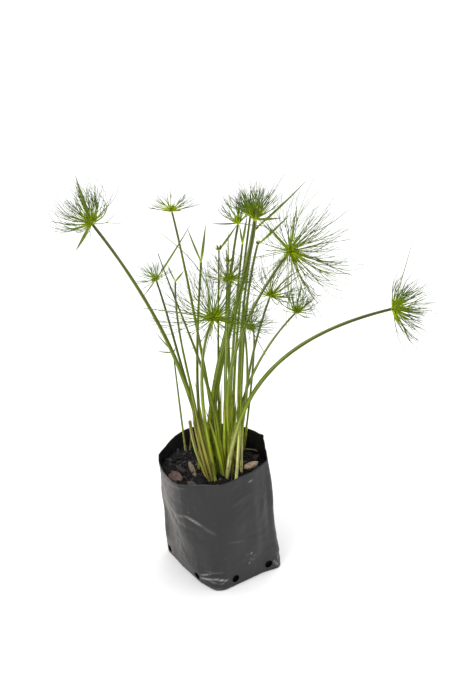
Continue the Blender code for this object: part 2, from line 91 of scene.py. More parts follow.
# Drainage holes: where the wall faces in degrees, place along it and height in millimetres
HOLES = (
    (216, 24, 10),
    (216, -50, 9),
    (306, -24, 12),
    (306, 32, 12),
    (36, 20, 9),
    (36, -38, 9),
    (126, 22, 9),
    (126, -32, 9),
)

# How far the film stands outside the round mouth and outside the base's outline: degrees
# from +X and millimetres
MOUTH_CORNERS = (
    (4, -2.6), (24, 3.5), (38, 2.3), (47, 0.0), (60, 0.5), (100, 1.0), (117, 3.7), (130, 1.4), (139, -0.4),
    (149, -1.5), (158, -2.1), (172, 0.7), (178, -0.4), (193, -1.5), (210, 0.1), (224, 4.0), (235, 4.2),
    (246, -0.8), (262, -2.7), (277, 0.3), (289, -1.1), (304, -3.7), (327, -0.6), (342, 5.0), (351, 0.0),
)
BASE_CORNERS = (
    (30, 2.0), (60, 2.5), (85, 0.0), (110, 2.5), (140, 2.0), (167, 0.5), (183, 2.4), (205, 5.1),
    (241, 6.0), (256, 2.3), (266, -1.3), (275, 0.8), (325, -0.4), (348, 4.0), (358, 1.5),
)


class Crease(NamedTuple):
    """A fold in the film: from and to as (angle, height), its height, width and pallor: stress-whitening
    with a painted highlight.
    """

    start: tuple
    end: tuple
    height: float
    width: float
    pale: float = 0.0


CREASES = (
    Crease((238, 118), (255, 107), 1.6, 2.6, 0.8),
    Crease((222, 111), (238, 118), 0.9, 5.0, 0.2),
    Crease((255, 107), (268, 94), 0.8, 4.0, 0.15),
    Crease((192, 114), (213, 119), 1.2, 2.6, 0.5),
    Crease((184, 34), (187, 112), -5.2, 25.0),
    Crease((207, 66), (213, 78), 0.8, 5.0, 0.15),
    Crease((206, 101), (252, 92), -1.5, 5.5),
    Crease((231, 86), (262, 80), -0.9, 6.0),
    Crease((199, 114), (215, 116), 1.3, 2.6, 0.45),
    Crease((197, 104), (212, 98), -1.2, 3.6),
    Crease((202, 80), (216, 58), 1.5, 2.4, 0.4),
    Crease((196, 72), (208, 50), -1.2, 3.0),
    Crease((214, 50), (220, 36), 1.0, 2.4, 0.3),
    Crease((197, 140), (212, 147), 0.8, 4.0, 0.1),
    Crease((200, 128), (228, 131), 0.9, 5.0),
    Crease((243, 12), (262, 20), 1.6, 2.4, 1.1),
    Crease((262, 21), (277, 15), 1.5, 2.0, 1.2),
    Crease((244, 18), (258, 27), 1.2, 1.5, 0.9),
    Crease((258, 14), (272, 12), 1.2, 1.4, 0.8),
    Crease((255, 27), (274, 25), -1.6, 1.8),
    Crease((254, 31), (272, 31), 1.0, 2.4, 0.15),
    Crease((252, 11), (272, 9), -1.9, 2.6),
    Crease((256, 4), (272, 4), 1.0, 1.7, 0.3),
    Crease((339, 15), (344, 4), 1.2, 1.6, 0.95),
    Crease((343, 26), (345, 12), 0.9, 2.0, 0.4),
    Crease((327, 88), (333, 120), 0.8, 6.0, 0.05),
    Crease((318, 40), (316, 150), 0.7, 7.0),
    Crease((336, 60), (335, 150), -1.4, 5.5),
    Crease((343, 100), (341, 160), 1.6, 4.5, 0.08),
    Crease((352, 46), (352, 112), -2.6, 18.0),
    Crease((28, 148), (28, 182), 3.6, 4.5),
    Crease((312, 157), (317, 158), 0.5, 1.6, 0.6),
    Crease((204, 160), (240, 164), 0.4, 3.2, 0.22),
    Crease((168, 10), (172, 140), 1.2, 5.0, 0.06),
    Crease((262, 30), (258, 75), 0.6, 7.0),
    Crease((280, 78), (300, 70), 0.4, 2.2, 0.12),
    Crease((306, 36), (314, 30), 0.5, 1.8, 0.3),
    Crease((304, 43), (305, 42), 0.1, 1.5, 1.2),
    Crease((309, 44), (310, 42), 0.1, 1.4, 1.0),
    Crease((306, 29), (307, 28), 0.1, 1.5, 1.2),
    Crease((313, 38), (314, 37), 0.1, 1.3, 1.0),
    Crease((301, 34), (302, 33), 0.1, 1.3, 0.9),
    Crease((290, 132), (312, 138), 0.6, 5.0, 0.05),
    Crease((20, 60), (60, 95), 1.3, 4.0, 0.25),
    Crease((70, 30), (100, 60), -1.4, 5.0),
    Crease((90, 110), (130, 90), 1.2, 3.6, 0.2),
    Crease((130, 40), (150, 75), 1.2, 3.6, 0.25),
    Crease((10, 120), (40, 135), -1.1, 5.0),
    Crease((86, 8), (84, 60), 1.3, 4.5, 0.06),
    Crease((30, 10), (70, 18), 1.3, 2.2, 0.5),
    Crease((110, 12), (150, 14), 1.3, 2.2, 0.5),
    Crease((52, 126), (76, 118), 1.0, 3.0, 0.3),
)

# The potting mix
MIX_TOP = 145.5 * MM
MIX_MOUND = 2.2 * MM
MIX_LUMPS = 1.0 * MM
LUMP_WAVES = (210, 180)
MIX_INSET = 1.6 * MM
MIX_FLOOR = 2.0 * MM
SIDE_INSET = 4.4 * MM  # how much further in the mix stands below its top, clear of the creases
MIX_GRID = (112, 64)
MIX_PARTS = (0.62, 0.9)  # shares of the mix's grid where its top and its side end
MIX_SEED = 11
CRUMB_KINDS = 16
FLAKE_KINDS = 12
CRUMB_BATCH = 200


class Flake(NamedTuple):
    """A piece of bark: half sizes in millimetres, turn and lean in degrees, and its colour."""

    half_sizes: tuple
    turn: float
    lean: float
    shade: tuple


FLAKES = {
    "bark_round": Flake((12, 7.0, 2.6), -47, 28, (0.112, 0.074, 0.062)),
    "bark_curved": Flake((10.5, 3.6, 2.8), -52, 15, (0.030, 0.024, 0.024)),
    "bark_stick": Flake((19, 3.4, 2.6), -75, 4, (0.205, 0.158, 0.112)),
    "bark_tan": Flake((12.5, 4.6, 3.0), 40, 16, (0.500, 0.365, 0.255)),
    "bark_flat": Flake((7.5, 4.2, 2.0), -30, 6, (0.085, 0.062, 0.052)),
    "bark_small": Flake((7, 4.3, 2.4), 62, -6, (0.040, 0.030, 0.028)),
}

# The twig's ends and middle, and where its side shoot ends beyond its own end, in millimetres
TWIG = ((31, 44, 150.5), (40, 41, 151.8), (48, 38, 150.5))
SHOOT_END = (2.0, 6.0, 2.5)


class Culm(NamedTuple):
    """A stem: foot, the point it bends towards, tip and radii, in millimetres.

    Pale, brown and dry say how bleached, brown and dry it is, and sheath how long its sheath
    is. The sway is how far its lower third stands towards +X of its bend. The tone is how
    light it is with all its leaves.
    """

    foot: tuple
    bow: tuple
    tip: tuple
    foot_radius: float
    tip_radius: float
    pale: float
    brown: float
    sheath: float
    sway: float = 0.0
    dry: float = 0.0
    tone: float = 1.0


CULMS = {
    "far_left": Culm((-22, -2), (-42, -16, 345), (-165, 19, 501), 3.3, 1.8, 0.2, 0.6, 78, tone=0.76),
    "mid_left": Culm((-12, 10), (-55, 37, 309), (-86, 30, 417), 2.3, 1.2, 0.3, 0.45, 40, -5, tone=0.75),
    "forked_left": Culm((-32, -1), (-62, -77, 317), (-60, 1, 428), 2.1, 1.1, 0.2, 0.5, 52, 14),
    "spear": Culm((-8, -10), (-32, -48, 329), (-78, -60, 495), 3.1, 0.5, 0.4, 0.25, 46, 13, tone=0.84),
    "top_left": Culm((-5, 40), (-44, 88, 384), (-67, 100, 483), 2.2, 1.3, 0.2, 0.4, 60),
    "forked_mid": Culm((-22, 20), (-43, 36, 225), (-27, 0, 456), 2.5, 1.4, 0.25, 0.4, 70, tone=0.85),
    "low_front": Culm((-10, -18), (-42, -75, 345), (-11, -105, 430), 2.6, 1.6, 0.5, 0.2, 30, tone=0.84),
    "bud": Culm((-4, 47), (-8, 74, 265), (-5, 70, 440), 1.9, 1.0, 0.2, 0.2, 34),
    "inner_low": Culm((3, 8), (3, -20, 313), (8, -45, 453), 2.2, 1.4, 0.75, 0.1, 44, tone=1.6),
    "inner_bud": Culm((3, 54), (2, 52, 335), (7, 40, 437), 1.9, 1.2, 0.25, 0.2, 30),
    "top_mid": Culm((21, 30), (-6, 71, 329), (20, 60, 483), 2.5, 1.5, 0.35, 0.1, 48, tone=1.1),
    "forked_top": Culm((7, 23), (11, 21, 332), (25, 15, 474), 2.3, 1.3, 0.85, 0.1, 36, tone=1.6),
    "crown": Culm((-12, 31), (21, 30, 320), (41, 40, 497), 4.6, 2.7, 0.45, 0.05, 62, -16, tone=1.1),
    "crown_back": Culm((16, 45), (9, 111, 238), (36, 95, 478), 2.3, 1.4, 0.3, 0.1, 40),
    "blade_high": Culm((24, 17), (14, 70, 300), (41, 58, 475), 2.3, 1.4, 0.6, 0.05, 30, tone=1.5),
    "blade_low": Culm((18, -26), (8, -11, 324), (44, 12, 474), 2.5, 1.5, 1.1, 0.05, 26, 7, tone=1.25),
    "right_open": Culm((20, -3), (-27, -67, 341), (79, -110, 521), 2.7, 1.5, 0.75, 0.05, 28, tone=0.9),
    "right_mid": Culm((25, -9), (16, 18, 255), (61, 10, 403), 2.3, 1.3, 1.4, 0.05, 24, 2, tone=1.45),
    "right_low": Culm((17, 5), (37, -15, 327), (92, -40, 405), 2.2, 1.2, 1.2, 0.05, 22, -8, tone=1.3),
    "far_right": Culm((6, -24), (-9, -54, 358), (213, -36, 408), 3.3, 1.9, 1.15, 0.05, 34, 9, tone=0.86),
    "back_low": Culm((9, 1), (42, -28, 260), (27, -12, 371), 2.1, 1.3, 0.4, 0.1, 32),
    "thin_right": Culm((29, 48), (49, 55, 336), (37, 30, 346), 1.7, 1.0, 0.35, 0.15, 26),
    "thin_left": Culm((-52, 48), (-60, 50, 225), (-66, 45, 302), 1.7, 0.9, 0.9, 0.4, 12),
    "cut": Culm((-19, -29), (-37, -28, 183), (-43, -28, 239), 2.6, 2.2, 0.6, 0.4, 22, 0, 0.35, tone=0.9),
    "stub": Culm((-45, 48), (-44, 48, 165), (-43, 48, 182), 1.7, 1.4, 0.6, 0.5, 5, 0, 0.6),
}
NEW_SHOOT = Culm((-10, -32), (-12, -32, 160), (-14, -32, 176), 2.4, 0.8, 0.7, 0.1, 10)
FOOT_LEVEL = 150  # height of every culm's foot, in millimetres
SWAY_SCALE = 6.75  # makes a culm's sway whole a third of the way up
FOOT_SINK = 8  # millimetres that a culm's grids start below its foot
FOOT_TAPER = 0.26  # how much thinner a culm is at its foot
FOOT_REACH = 90  # millimetres of a culm that this takes
CULM_GRID = (14, 60)
CULM_GUIDE = np.array((0.35, -0.94, 0.0))  # where the grids' seams lie
COURSE_POINTS = 60
FAR_AWAY = 1.0  # a place past every culm, in metres

SHADE_ROLL = (0.62, 1.22)  # how light each stem, sheath and leaf is beside the others
# Painted shade between the culms, deeper where they crowd:
PAINTED_SHADE_DEPTH = 0.9  # how fast light fades between the culms


class Leaf(NamedTuple):
    """A leaf-like sheath: length, where it faces in degrees, half width, flare and dry point."""

    length: float
    facing: float
    half_width: float
    flare: float
    dry: float


LEAVES = {
    "far_left": (Leaf(120, 250, 4.2, 0.6, 0.3), Leaf(84, 300, 4.0, 0.6, 0.5)),
    "mid_left": (Leaf(104, 265, 3.4, 0.8, 0.5),),
    "forked_left": (Leaf(78, 250, 3.0, 0.8, 0.6),),
    "spear": (Leaf(88, 215, 3.6, 2.6, 1.0), Leaf(120, 300, 3.6, 0.6, 0.3)),
    "top_left": (Leaf(112, 270, 3.4, 0.8, 0.3),),
    "forked_mid": (Leaf(118, 255, 3.6, 0.8, 0.5), Leaf(86, 300, 3.4, 1.0, 0.4)),
    "low_front": (Leaf(96, 280, 3.4, 0.8, 0.3),),
    "bud": (Leaf(92, 270, 3.4, 0.6, 0.3),),
    "inner_low": (Leaf(90, 262, 4.6, 1.2, 1.0), Leaf(70, 300, 3.6, 1.0, 0.4)),
    "inner_bud": (Leaf(96, 280, 3.6, 0.8, 0.3),),
    "top_mid": (Leaf(104, 265, 4.4, 0.8, 0.2), Leaf(82, 300, 4.0, 1.0, 0.3)),
    "forked_top": (Leaf(96, 275, 4.4, 1.0, 0.3),),
    "crown": (Leaf(128, 235, 5.0, 0.6, 0.2), Leaf(100, 290, 5.0, 0.8, 0.2)),
    "crown_back": (Leaf(104, 270, 4.2, 0.8, 0.2),),
    "blade_high": (Leaf(98, 270, 4.0, 0.8, 0.3),),
    "right_open": (Leaf(74, 290, 3.2, 0.6, 0.3),),
    "right_low": (Leaf(52, 250, 2.8, 0.6, 0.3),),
    "back_low": (Leaf(66, 270, 3.4, 0.8, 0.5),),
}

SHEATH_SHEET = 0.2 * MM
SHEATH_GRID = (16, 14)
LEAF_GRID = (8, 18)
LEAF_GAP = 0.3  # millimetres between a culm and its leaf
LEAF_REACH = 300  # millimetres of a leaf over which the colours of a whole culm run
# Painted shade along each leaf's edges:
EDGE_SHADE_DEPTH = 0.68  # how much darker a leaf's edges are
LOOSENESS = 0.022  # how far sheaths stand off, for each square millimetre of a foot's radius
DRY_FROM = 0.72  # share of a leaf's length at which its dry point begins


def blade(foot, bow, tip, facing, half_width, dry_point, pale, brown, dry=0.0):
    """A leaf sheath that leans away from its culm, as the line that it follows and its form."""
    return Culm(foot, bow, tip, 0, 0, pale, brown, 0, dry=dry), Leaf(0, facing, half_width, 0, dry_point)


BLADES = {
    "far_left": (
        blade((-19, -33), (-31, -34, 196), (-40, -36, 250), 258, 2.6, 0.8, 0.1, 0.4, 0.7),
        blade((-15, -30), (-27, -32, 200), (-39, -38, 276), 262, 3.4, 0.8, 0.1, 0.4, 0.6),
        blade((-14, -27), (-21, -28, 200), (-33, -31, 258), 275, 2.4, 0.9, 0.3, 0.5, 0.4),
        blade((-24, -24), (-36, -22, 216), (-43, -24, 296), 250, 2.4, 0.7, 0.1, 0.4, 0.3),
    ),
    "mid_left": (
        blade((-15.5, -23), (-26, -26, 226), (-36, -30, 302), 262, 2.6, 0.9, 0.0, 0.1),
        blade((-13, -22), (-23, -25, 196), (-31, -34, 244), 285, 2.3, 0.1, 0.1, 0.0),
        blade((-28, 2), (-38, 0, 222), (-46, -6, 300), 262, 2.3, 0.6, 0.1, 0.5),
    ),
    "low_front": (
        blade((-10, -24), (-17, -32, 200), (-23, -44, 262), 280, 2.0, 0.2, 0.2, 0.1),
    ),
    "spear": (
        blade((1, -22), (-8.5, -27, 208), (-23, -46, 268), 262, 3.3, 1.0, 0.2, 0.1),
        blade((-2, -18), (-8, -26, 214), (-12, -38, 256), 285, 2.0, 0.1, 0.6, 0.0),
        blade((-6, -15), (-12, -20, 208), (-17, -34, 286), 270, 2.3, 0.3, 0.1, 0.2),
        blade((3, -20), (-8, -24, 218), (-10, -26, 300), 266, 3.6, 0.1, 0.1, 0.0),
    ),
    "inner_low": (
        blade((3, -10), (0, -22, 214), (3, -42, 276), 262, 2.6, 1.0, 0.2, 0.1),
        blade((9, -12), (6, -20, 220), (9, -36, 270), 278, 2.3, 0.1, 0.4, 0.0),
        blade((-3, -8), (-4, -14, 220), (-2, -30, 300), 270, 2.3, 0.2, 0.1, 0.0),
    ),
    "forked_top": (
        blade((12, -4), (10, -14, 214), (13, -28, 272), 266, 2.5, 0.2, 0.3, 0.0),
        blade((16, 6), (15, 2, 214), (18, -8, 262), 280, 2.4, 0.4, 0.2, 0.2),
    ),
    "crown": (
        blade((-23, 22), (-16.5, 22, 273), (16, 27, 396), 270, 3.2, 0.0, 0.1, 0.0),
    ),
    "blade_low": (
        blade((19, -28), (19, -30, 197), (22, -31, 236), 268, 2.0, 0.0, 1.4, 0.0),
    ),
    "blade_high": (
        blade((8, -16), (14, -20, 205), (19, -26, 262), 270, 2.2, 0.1, 0.3, 0.0),
    ),
    "right_open": (
        blade((14, -16), (11, -24, 190), (10, -30, 232), 275, 1.9, 0.0, 1.0, 0.0),
    ),
    "far_right": (
        blade((6, -28), (9.6, -31, 196), (15, -34, 242), 268, 1.9, 0.0, 1.3, 0.0),
        blade((12, -22), (13, -26, 196), (18, -30, 240), 282, 1.7, 0.4, 0.1, 0.6, 0.45),
    ),
    "right_mid": (
        blade((21, 2), (24, 0, 200), (22, 0, 262), 270, 2.2, 0.3, 0.3, 0.1),
    ),
}


class Bract(NamedTuple):
    """A blade or long thread below the rays: its tip from the hub, half width and sideways bow."""

    tip: tuple
    half_width: float
    bow: float = 0.0


class Umbel(NamedTuple):
    """What a culm carries: hub, rays round an axis, how they curl, sag and thicken, and bracts.

    The heart is the share of the rays' length that is bright. The hollow is the share of
    their cap, round its axis, that has none. The usual length of a ray is a share of the
    longest.
    """

    hub: float
    rays: int = 0
    length: float = 0.0
    axis: tuple = (0.0, 0.0, 1.0)
    spread: float = 0.0
    curl: float = 0.3
    sag: float = 0.05
    thread: float = 1.0
    heart: float = 0.3
    bracts: tuple = ()
    hollow: float = 0.0
    usual: float = 0.95


UMBELS = {
    "far_left": Umbel(
        4.0, 72, 58, (-0.45, -0.1, 0.88), 98, 0.42, 0.02, 1.0, 0.36,
        (Bract((-17, 0, 64), 1.9), Bract((-20, -10, -34), 2.0)),
    ),
    "mid_left": Umbel(
        3.0, 46, 34, (-0.35, -0.15, 0.92), 96, 0.2, 0.0, 0.62, 0.36,
        (Bract((45, 0, 76), 1.15), Bract((-16, -8, -20), 0.7)),
    ),
    "forked_left": Umbel(2.2, bracts=(Bract((-10, 0, 24), 0.8), Bract((11, 0, 15), 1.2))),
    "top_left": Umbel(
        3.6, 28, 40, (-0.08, 0.2, 0.97), 88, 0.1, 0.0, 0.95, 0.42, (Bract((13, -4, 2), 0.7),), 0.34
    ),
    "forked_mid": Umbel(2.2, bracts=(Bract((-17, 0, 46), 1.2), Bract((6, 0, 51), 1.7))),
    "low_front": Umbel(
        4.5, 104, 96, (0, -0.3, 0.95), 106, 0.3, 0.04, 0.7, 0.17,
        (Bract((-85, -12, 20), 0.55, 0.03), Bract((-61, 0, 112), 0.4, 0.13), Bract((-11, 4, -52), 0.5)),
    ),
    "bud": Umbel(1.8, 9, 9, (0, 0, 1), 60, bracts=(Bract((24, 0, 37), 1.5),)),
    "inner_low": Umbel(3.2, 56, 48, (0, -0.2, 0.98), 100, 0.25, 0.02, 0.75, 0.28),
    "inner_bud": Umbel(2.2, 12, 9, (0, 0, 1), 70, bracts=(Bract((0, 0, 47), 0.7),)),
    "top_mid": Umbel(
        3.4, 24, 46, (-0.15, 0.1, 0.98), 70, 0.34, 0.0, 0.95, 0.3,
        (Bract((-33, 0, -1), 0.9), Bract((40, -6, -2), 0.4)),
    ),
    "forked_top": Umbel(1.8, bracts=(Bract((-4, 0, 26), 1.2), Bract((6, 0, 40), 1.5))),
    "crown": Umbel(
        5.0, 66, 72, (0.05, 0.05, 1), 58, 0.1, 0.0, 1.0, 0.28, (Bract((33, -6, 4), 1.4),), 0.0, 0.45
    ),
    "crown_back": Umbel(
        3.2, 26, 46, (-0.2, 0.2, 0.95), 60, 0.25, 0.0, 1.0, 0.3, (Bract((-14, 0, 32), 1.2),)
    ),
    "blade_high": Umbel(2.0, 8, 8, (0.3, 0, 0.95), 60, bracts=(Bract((64, 4, 64), 1.3),)),
    "blade_low": Umbel(2.0, 7, 7, (0.3, 0, 0.95), 60, bracts=(Bract((40, -3, 43), 1.5),)),
    "right_open": Umbel(
        4.5, 100, 98, (0.62, -0.5, 0.58), 104, 0.24, 0.22, 0.74, 0.2,
        (Bract((-30, 0, 38), 1.3), Bract((7, 4, 56), 1.1)),
    ),
    "right_mid": Umbel(
        3.4, 37, 70, (0.3, -0.15, 0.94), 88, 0.4, 0.05, 0.85, 0.22,
        (Bract((47, 0, 43), 0.7, -0.08), Bract((33, -8, 2), 0.8)),
    ),
    "right_low": Umbel(3.0, 48, 44, (0.25, -0.15, 0.95), 84, 0.35, 0.03, 0.75, 0.3),
    "far_right": Umbel(
        4.0, 68, 60, (0.95, -0.15, 0.25), 88, 0.2, 0.05, 1.0, 0.3, (Bract((20, 0, 96), 0.45),)
    ),
    "back_low": Umbel(2.6, 30, 46, (-0.1, -0.3, 0.95), 94, 0.3, 0.04, 0.8, 0.2),
    "thin_right": Umbel(
        2.6, 36, 46, (0.3, -0.2, 0.93), 98, 0.3, 0.05, 0.7, 0.2, (Bract((24, -10, -44), 0.35),)
    ),
    "thin_left": Umbel(
        2.0, 7, 8, (-0.3, 0, 0.95), 60, bracts=(Bract((-23, 0, 30), 0.9), Bract((-20, -3, 3), 0.7))
    ),
}
BUD_LENGTH = 12  # rays shorter than this, in millimetres, are the stubs of a bud
HUB_SHARE = 0.62  # the swelling's radius as a share of the hub
HUB_BASE = 0.25  # how far below the hub's middle its culm stops, as a share of the hub
RAY_SEED = 5
RAY_KINDS = 9
STUB_KINDS = 4
THREAD_SIDES = 3
STUB_SIDES = 4
THREAD_STEPS = 6
GROWING_GIRTH = 0.01  # a thread's thickness while its faces are turned out
LONGEST_RAY = 1.04  # as a share of an umbel's length
USUAL_SPAN = 0.35  # how much shorter than the usual one the shortest ray is
BRACT_WIDEST = 0.36  # share of its length at which a blade is widest
BRACT_SHEET = 0.35 * MM
BRACT_GRID = (4, 20)

# The stage: the floor's half side, lights as place, size and share of the key light's power
FLOOR_SIZE = 14
LIT_POINT = (0, 0, 0.25)
LIGHTS = {"key": ((-1.1, -1.5, 2.1), 1.4, 1.0), "top": ((0.3, 0.6, 2.4), 1.6, 0.6)}
CAMERA_PLACE = (0.0042, -1.7108, 1.2555)
CAMERA_DOWN = math.radians(28)
SENSOR_WIDTH = 36


# Settings


def colour_setting(name, description, value):
    """A colour that the panel shows."""
    return FloatVectorProperty(
        name=name, description=description, subtype="COLOR", size=3, min=0, max=1, default=value
    )


def length_setting(name, description, millimetres):
    """A length that the panel shows."""
    return FloatProperty(name=name, description=description, unit="LENGTH", default=millimetres * MM)


class PapyrusBagSettings(bpy.types.PropertyGroup):
    """The planter bag."""

    film: length_setting("Film", "Thickness of the film", 0.8)
    hole: length_setting("Hole radius", "Radius of the drainage holes", 5.6)
    crinkle: length_setting("Crinkle", "Height of the fine crinkles", 0.45)
    sag: length_setting("Sag", "How far the mix presses the film out of shape", 1.6)
    colour: colour_setting("Colour", "The film's outer face", (0.0150, 0.0150, 0.0158))
    dust: colour_setting("Dust", "Dry dust and stretched film", (0.150, 0.124, 0.102))
    # Marks: scuffs, specks and stress-whitened creases; along the creases the same pale colour is also a
    # painted highlight.
    mark: colour_setting("Marks", "Stretched creases and scuffs", (0.44, 0.43, 0.42))
    # Lining: the inner face of the same film, painted darker than the outer face as shade.
    shaded_lining: colour_setting("Lining", "The film's inner face", (0.008, 0.008, 0.011))


class PapyrusMixSettings(bpy.types.PropertyGroup):
    """The potting mix and the bark."""

    crumbs: IntProperty(name="Crumbs", description="Number of loose crumbs", default=3200, min=0)
    flakes: IntProperty(name="Flakes", description="Number of small bark flakes", default=260, min=0)
    fibres: IntProperty(name="Fibres", description="Number of loose fibres", default=90, min=0)
    crumb: length_setting("Crumb size", "Radius of a middling crumb", 1.0)
    colour: colour_setting("Colour", "Damp mix", (0.0040, 0.0038, 0.0046))
    dry: colour_setting("Dry colour", "Dry crumbs and worn flakes", (0.070, 0.059, 0.056))


class PapyrusPlantSettings(bpy.types.PropertyGroup):
    """The culms and the umbels."""

    thread: length_setting("Thread", "Radius of a ray at its middle", 0.5)
    foot: colour_setting("Foot", "Bleached culm near the mix", (0.80, 0.78, 0.30))
    lower: colour_setting("Lower culm", "Fresh green of the lower culm", (0.44, 0.53, 0.024))
    middle: colour_setting("Middle culm", "Green of the middle culm", (0.168, 0.238, 0.026))
    top: colour_setting("Upper culm", "Dull green below the umbel", (0.112, 0.134, 0.044))
    sheath: colour_setting("Sheath", "Dry sheaths and brown feet", (0.33, 0.225, 0.085))
    # Ridge: a pale colour painted along the rib ridges as a highlight.
    ridge_highlight: colour_setting("Ridge", "Pale lines along the ribs", (0.62, 0.66, 0.20))
    # Gap: painted shade, the colour that culms darken towards on the sides that face their neighbours.
    gap: colour_setting("Gap", "What is left of a colour deep between the culms", (0.03, 0.045, 0.0))
    heart: colour_setting("Heart", "The bright middle of an umbel", (0.39, 0.50, 0.007))
    ray: colour_setting("Ray", "Rays beyond the heart", (0.108, 0.176, 0.006))
    tip: colour_setting("Ray tip", "The fine ends of the rays", (0.060, 0.092, 0.018))


class PapyrusStageSettings(bpy.types.PropertyGroup):
    """The floor, the light and the camera."""

    floor: colour_setting("Floor", "Plain pale floor", (0.92, 0.92, 0.92))
    world: FloatProperty(name="Surroundings", description="Strength of the white surroundings", default=1.0)
    key: FloatProperty(name="Key light", description="Power of the key light", default=30.0, unit="POWER")
    lens: FloatProperty(name="Lens", description="Focal length in millimetres", default=79.65)


# Mesh helpers


def new_piece(name, mesh, replaced, materials, smooth=True):
    """A finished piece: it rides on the frame, stands for its CAD nodes and has its finish."""
    piece = bpy.data.objects.new(name, mesh)
    bpy.context.scene.collection.objects.link(piece)
    for material in materials:
        mesh.materials.append(material)
    if smooth:
        mesh.shade_smooth()
    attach(piece, "root")
    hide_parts(*replaced)
    return piece


def mapped_grid(columns, rows, place):
    """A grid whose points go where place(across, along) puts them. The grid stays as its UV map."""
    bm = bmesh.new()
    bm.loops.layers.uv.new("UVMap")
    bmesh.ops.create_grid(bm, x_segments=columns, y_segments=rows, size=0.5, calc_uvs=True)
    shares = np.array([vert.co for vert in bm.verts])[:, :2] + 0.5
    for vert, point in zip(bm.verts, place(shares[:, 0], shares[:, 1])):
        vert.co = point
    return bm, shares


def put_layer(bm, key, values):
    """A float layer on a bmesh's points."""
    layer = bm.verts.layers.float.new(key)
    for vert, value in zip(bm.verts, values):
        vert[layer] = value


def closed_skin(bm):
    """Join a grid's seam and poles and turn its faces out."""
    bmesh.ops.remove_doubles(bm, verts=bm.verts, dist=WELD)
    bmesh.ops.dissolve_degenerate(bm, edges=bm.edges, dist=WELD / 10)
    bmesh.ops.recalc_face_normals(bm, faces=bm.faces)


def to_mesh(bm, name, **values):
    """Turn a bmesh into a mesh, with a float attribute for each value."""
    mesh = bpy.data.meshes.new(name)
    bm.to_mesh(mesh)
    bm.free()
    add_values(mesh, **values)
    return mesh


def add_values(mesh, **values):
    """A float attribute on the mesh's points for each value."""
    for key, value in values.items():
        layer = mesh.attributes.new(key, "FLOAT", "POINT")
        layer.data.foreach_set("value", np.broadcast_to(value, len(mesh.vertices)).astype(np.float32))


def take_values(mesh, key, kind="value", width=1):
    """A layer of the mesh's points as an array. The mesh loses it."""
    values = np.empty(len(mesh.vertices) * width, np.float32)
    mesh.attributes[key].data.foreach_get(kind, values)
    mesh.attributes.remove(mesh.attributes[key])
    return values


def gathered(templates, count, roll):
    """One mesh of copies of templates, each picked by chance, and how many points each has."""
    bm = bmesh.new()
    sizes = []
    for _ in range(count):
        template = roll.choice(templates)
        bm.from_mesh(template)
        sizes.append(len(template.vertices))
    return to_mesh(bm, "copies"), sizes


def places_of(mesh):
    """The mesh's points as an array."""
    places = np.empty(len(mesh.vertices) * 3, np.float32)
    mesh.vertices.foreach_get("co", places)
    return places.reshape(-1, 3).astype(float)


def put_places(mesh, places):
    """Move the mesh's points to an array."""
    mesh.vertices.foreach_set("co", places.astype(np.float32).ravel())
    mesh.update()


def joined(meshes, name):
    """One mesh of several, which are used up."""
    bm = bmesh.new()
    for mesh in meshes:
        bm.from_mesh(mesh)
        bpy.data.meshes.remove(mesh)
    return to_mesh(bm, name)


def applied(piece):
    """Fix a piece's modifiers in its mesh."""
    graph = bpy.context.evaluated_depsgraph_get()
    mesh = bpy.data.meshes.new_from_object(piece.evaluated_get(graph))
    piece.modifiers.clear()
    piece.data = mesh


def unit(vectors):
    """Vectors of length one, along the last axis."""
    return vectors / np.maximum(np.linalg.norm(vectors, axis=-1, keepdims=True), 1e-12)


def side_axes(along, guide):
    """Two directions square to each direction, the first as near as may be to a guide."""
    first = unit(guide - along * (guide * along).sum(-1, keepdims=True))
    return first, np.cross(along, first)


def bent_line(start, bow, end, share):
    """Places on a curve from start to end that bends towards bow, and its slope there."""
    spine = start * (1 - share) ** 2 + bow * 2 * share * (1 - share) + end * share**2
    return spine, 2 * (1 - share) * (bow - start) + 2 * share * (end - bow)


def ring_points(spine, side, up, across, girth):
    """Points that stand off a spine by its girth, at shares of the way round it."""
    turn = across[:, None] * math.tau
    return spine + girth[:, None] * (np.cos(turn) * side + np.sin(turn) * up)


def capped(along, girth):
    """A tube's girth, closed at both ends."""
    return np.where((along < 0.01) | (along > 0.99), 0, girth)


# Material helpers


def new_material(name, roughness, gloss=0.5):
    """A material with its node tree and its Principled shader."""
    material = bpy.data.materials.new(name)
    material.use_nodes = True
    tree = material.node_tree
    shader = tree.nodes["Principled BSDF"]
    shader.inputs["Roughness"].default_value = roughness
    shader.inputs["Specular IOR Level"].default_value = gloss
    return material, tree, shader


def add_node(tree, kind, links=(), **settings):
    """A node with its settings, and its inputs set to values or linked to sockets."""
    node = tree.nodes.new(kind)
    for key, value in settings.items():
        setattr(node, key, value)
    for key, value in dict(links).items():
        if isinstance(value, bpy.types.NodeSocket):
            tree.links.new(value, node.inputs[key])
        else:
            node.inputs[key].default_value = value
    return node


def add_maths(tree, operation, first, second, clamp=False):
    """The result of a Math node."""
    return add_node(
        tree, "ShaderNodeMath", {0: first, 1: second}, operation=operation, use_clamp=clamp
    ).outputs[0]


def add_mix(tree, share, first, second, blend="MIX"):
    """A blend of two colours by a share."""
    node = add_node(
        tree, "ShaderNodeMix", {0: share, 6: first, 7: second}, data_type="RGBA", blend_type=blend
    )
    return node.outputs[2]


def add_level(tree, colour, level):
    """A colour made darker or lighter by a level."""
    grey = add_node(tree, "ShaderNodeCombineXYZ", {0: level, 1: level, 2: level}).outputs[0]
    return add_mix(tree, 1.0, colour, grey, "MULTIPLY")


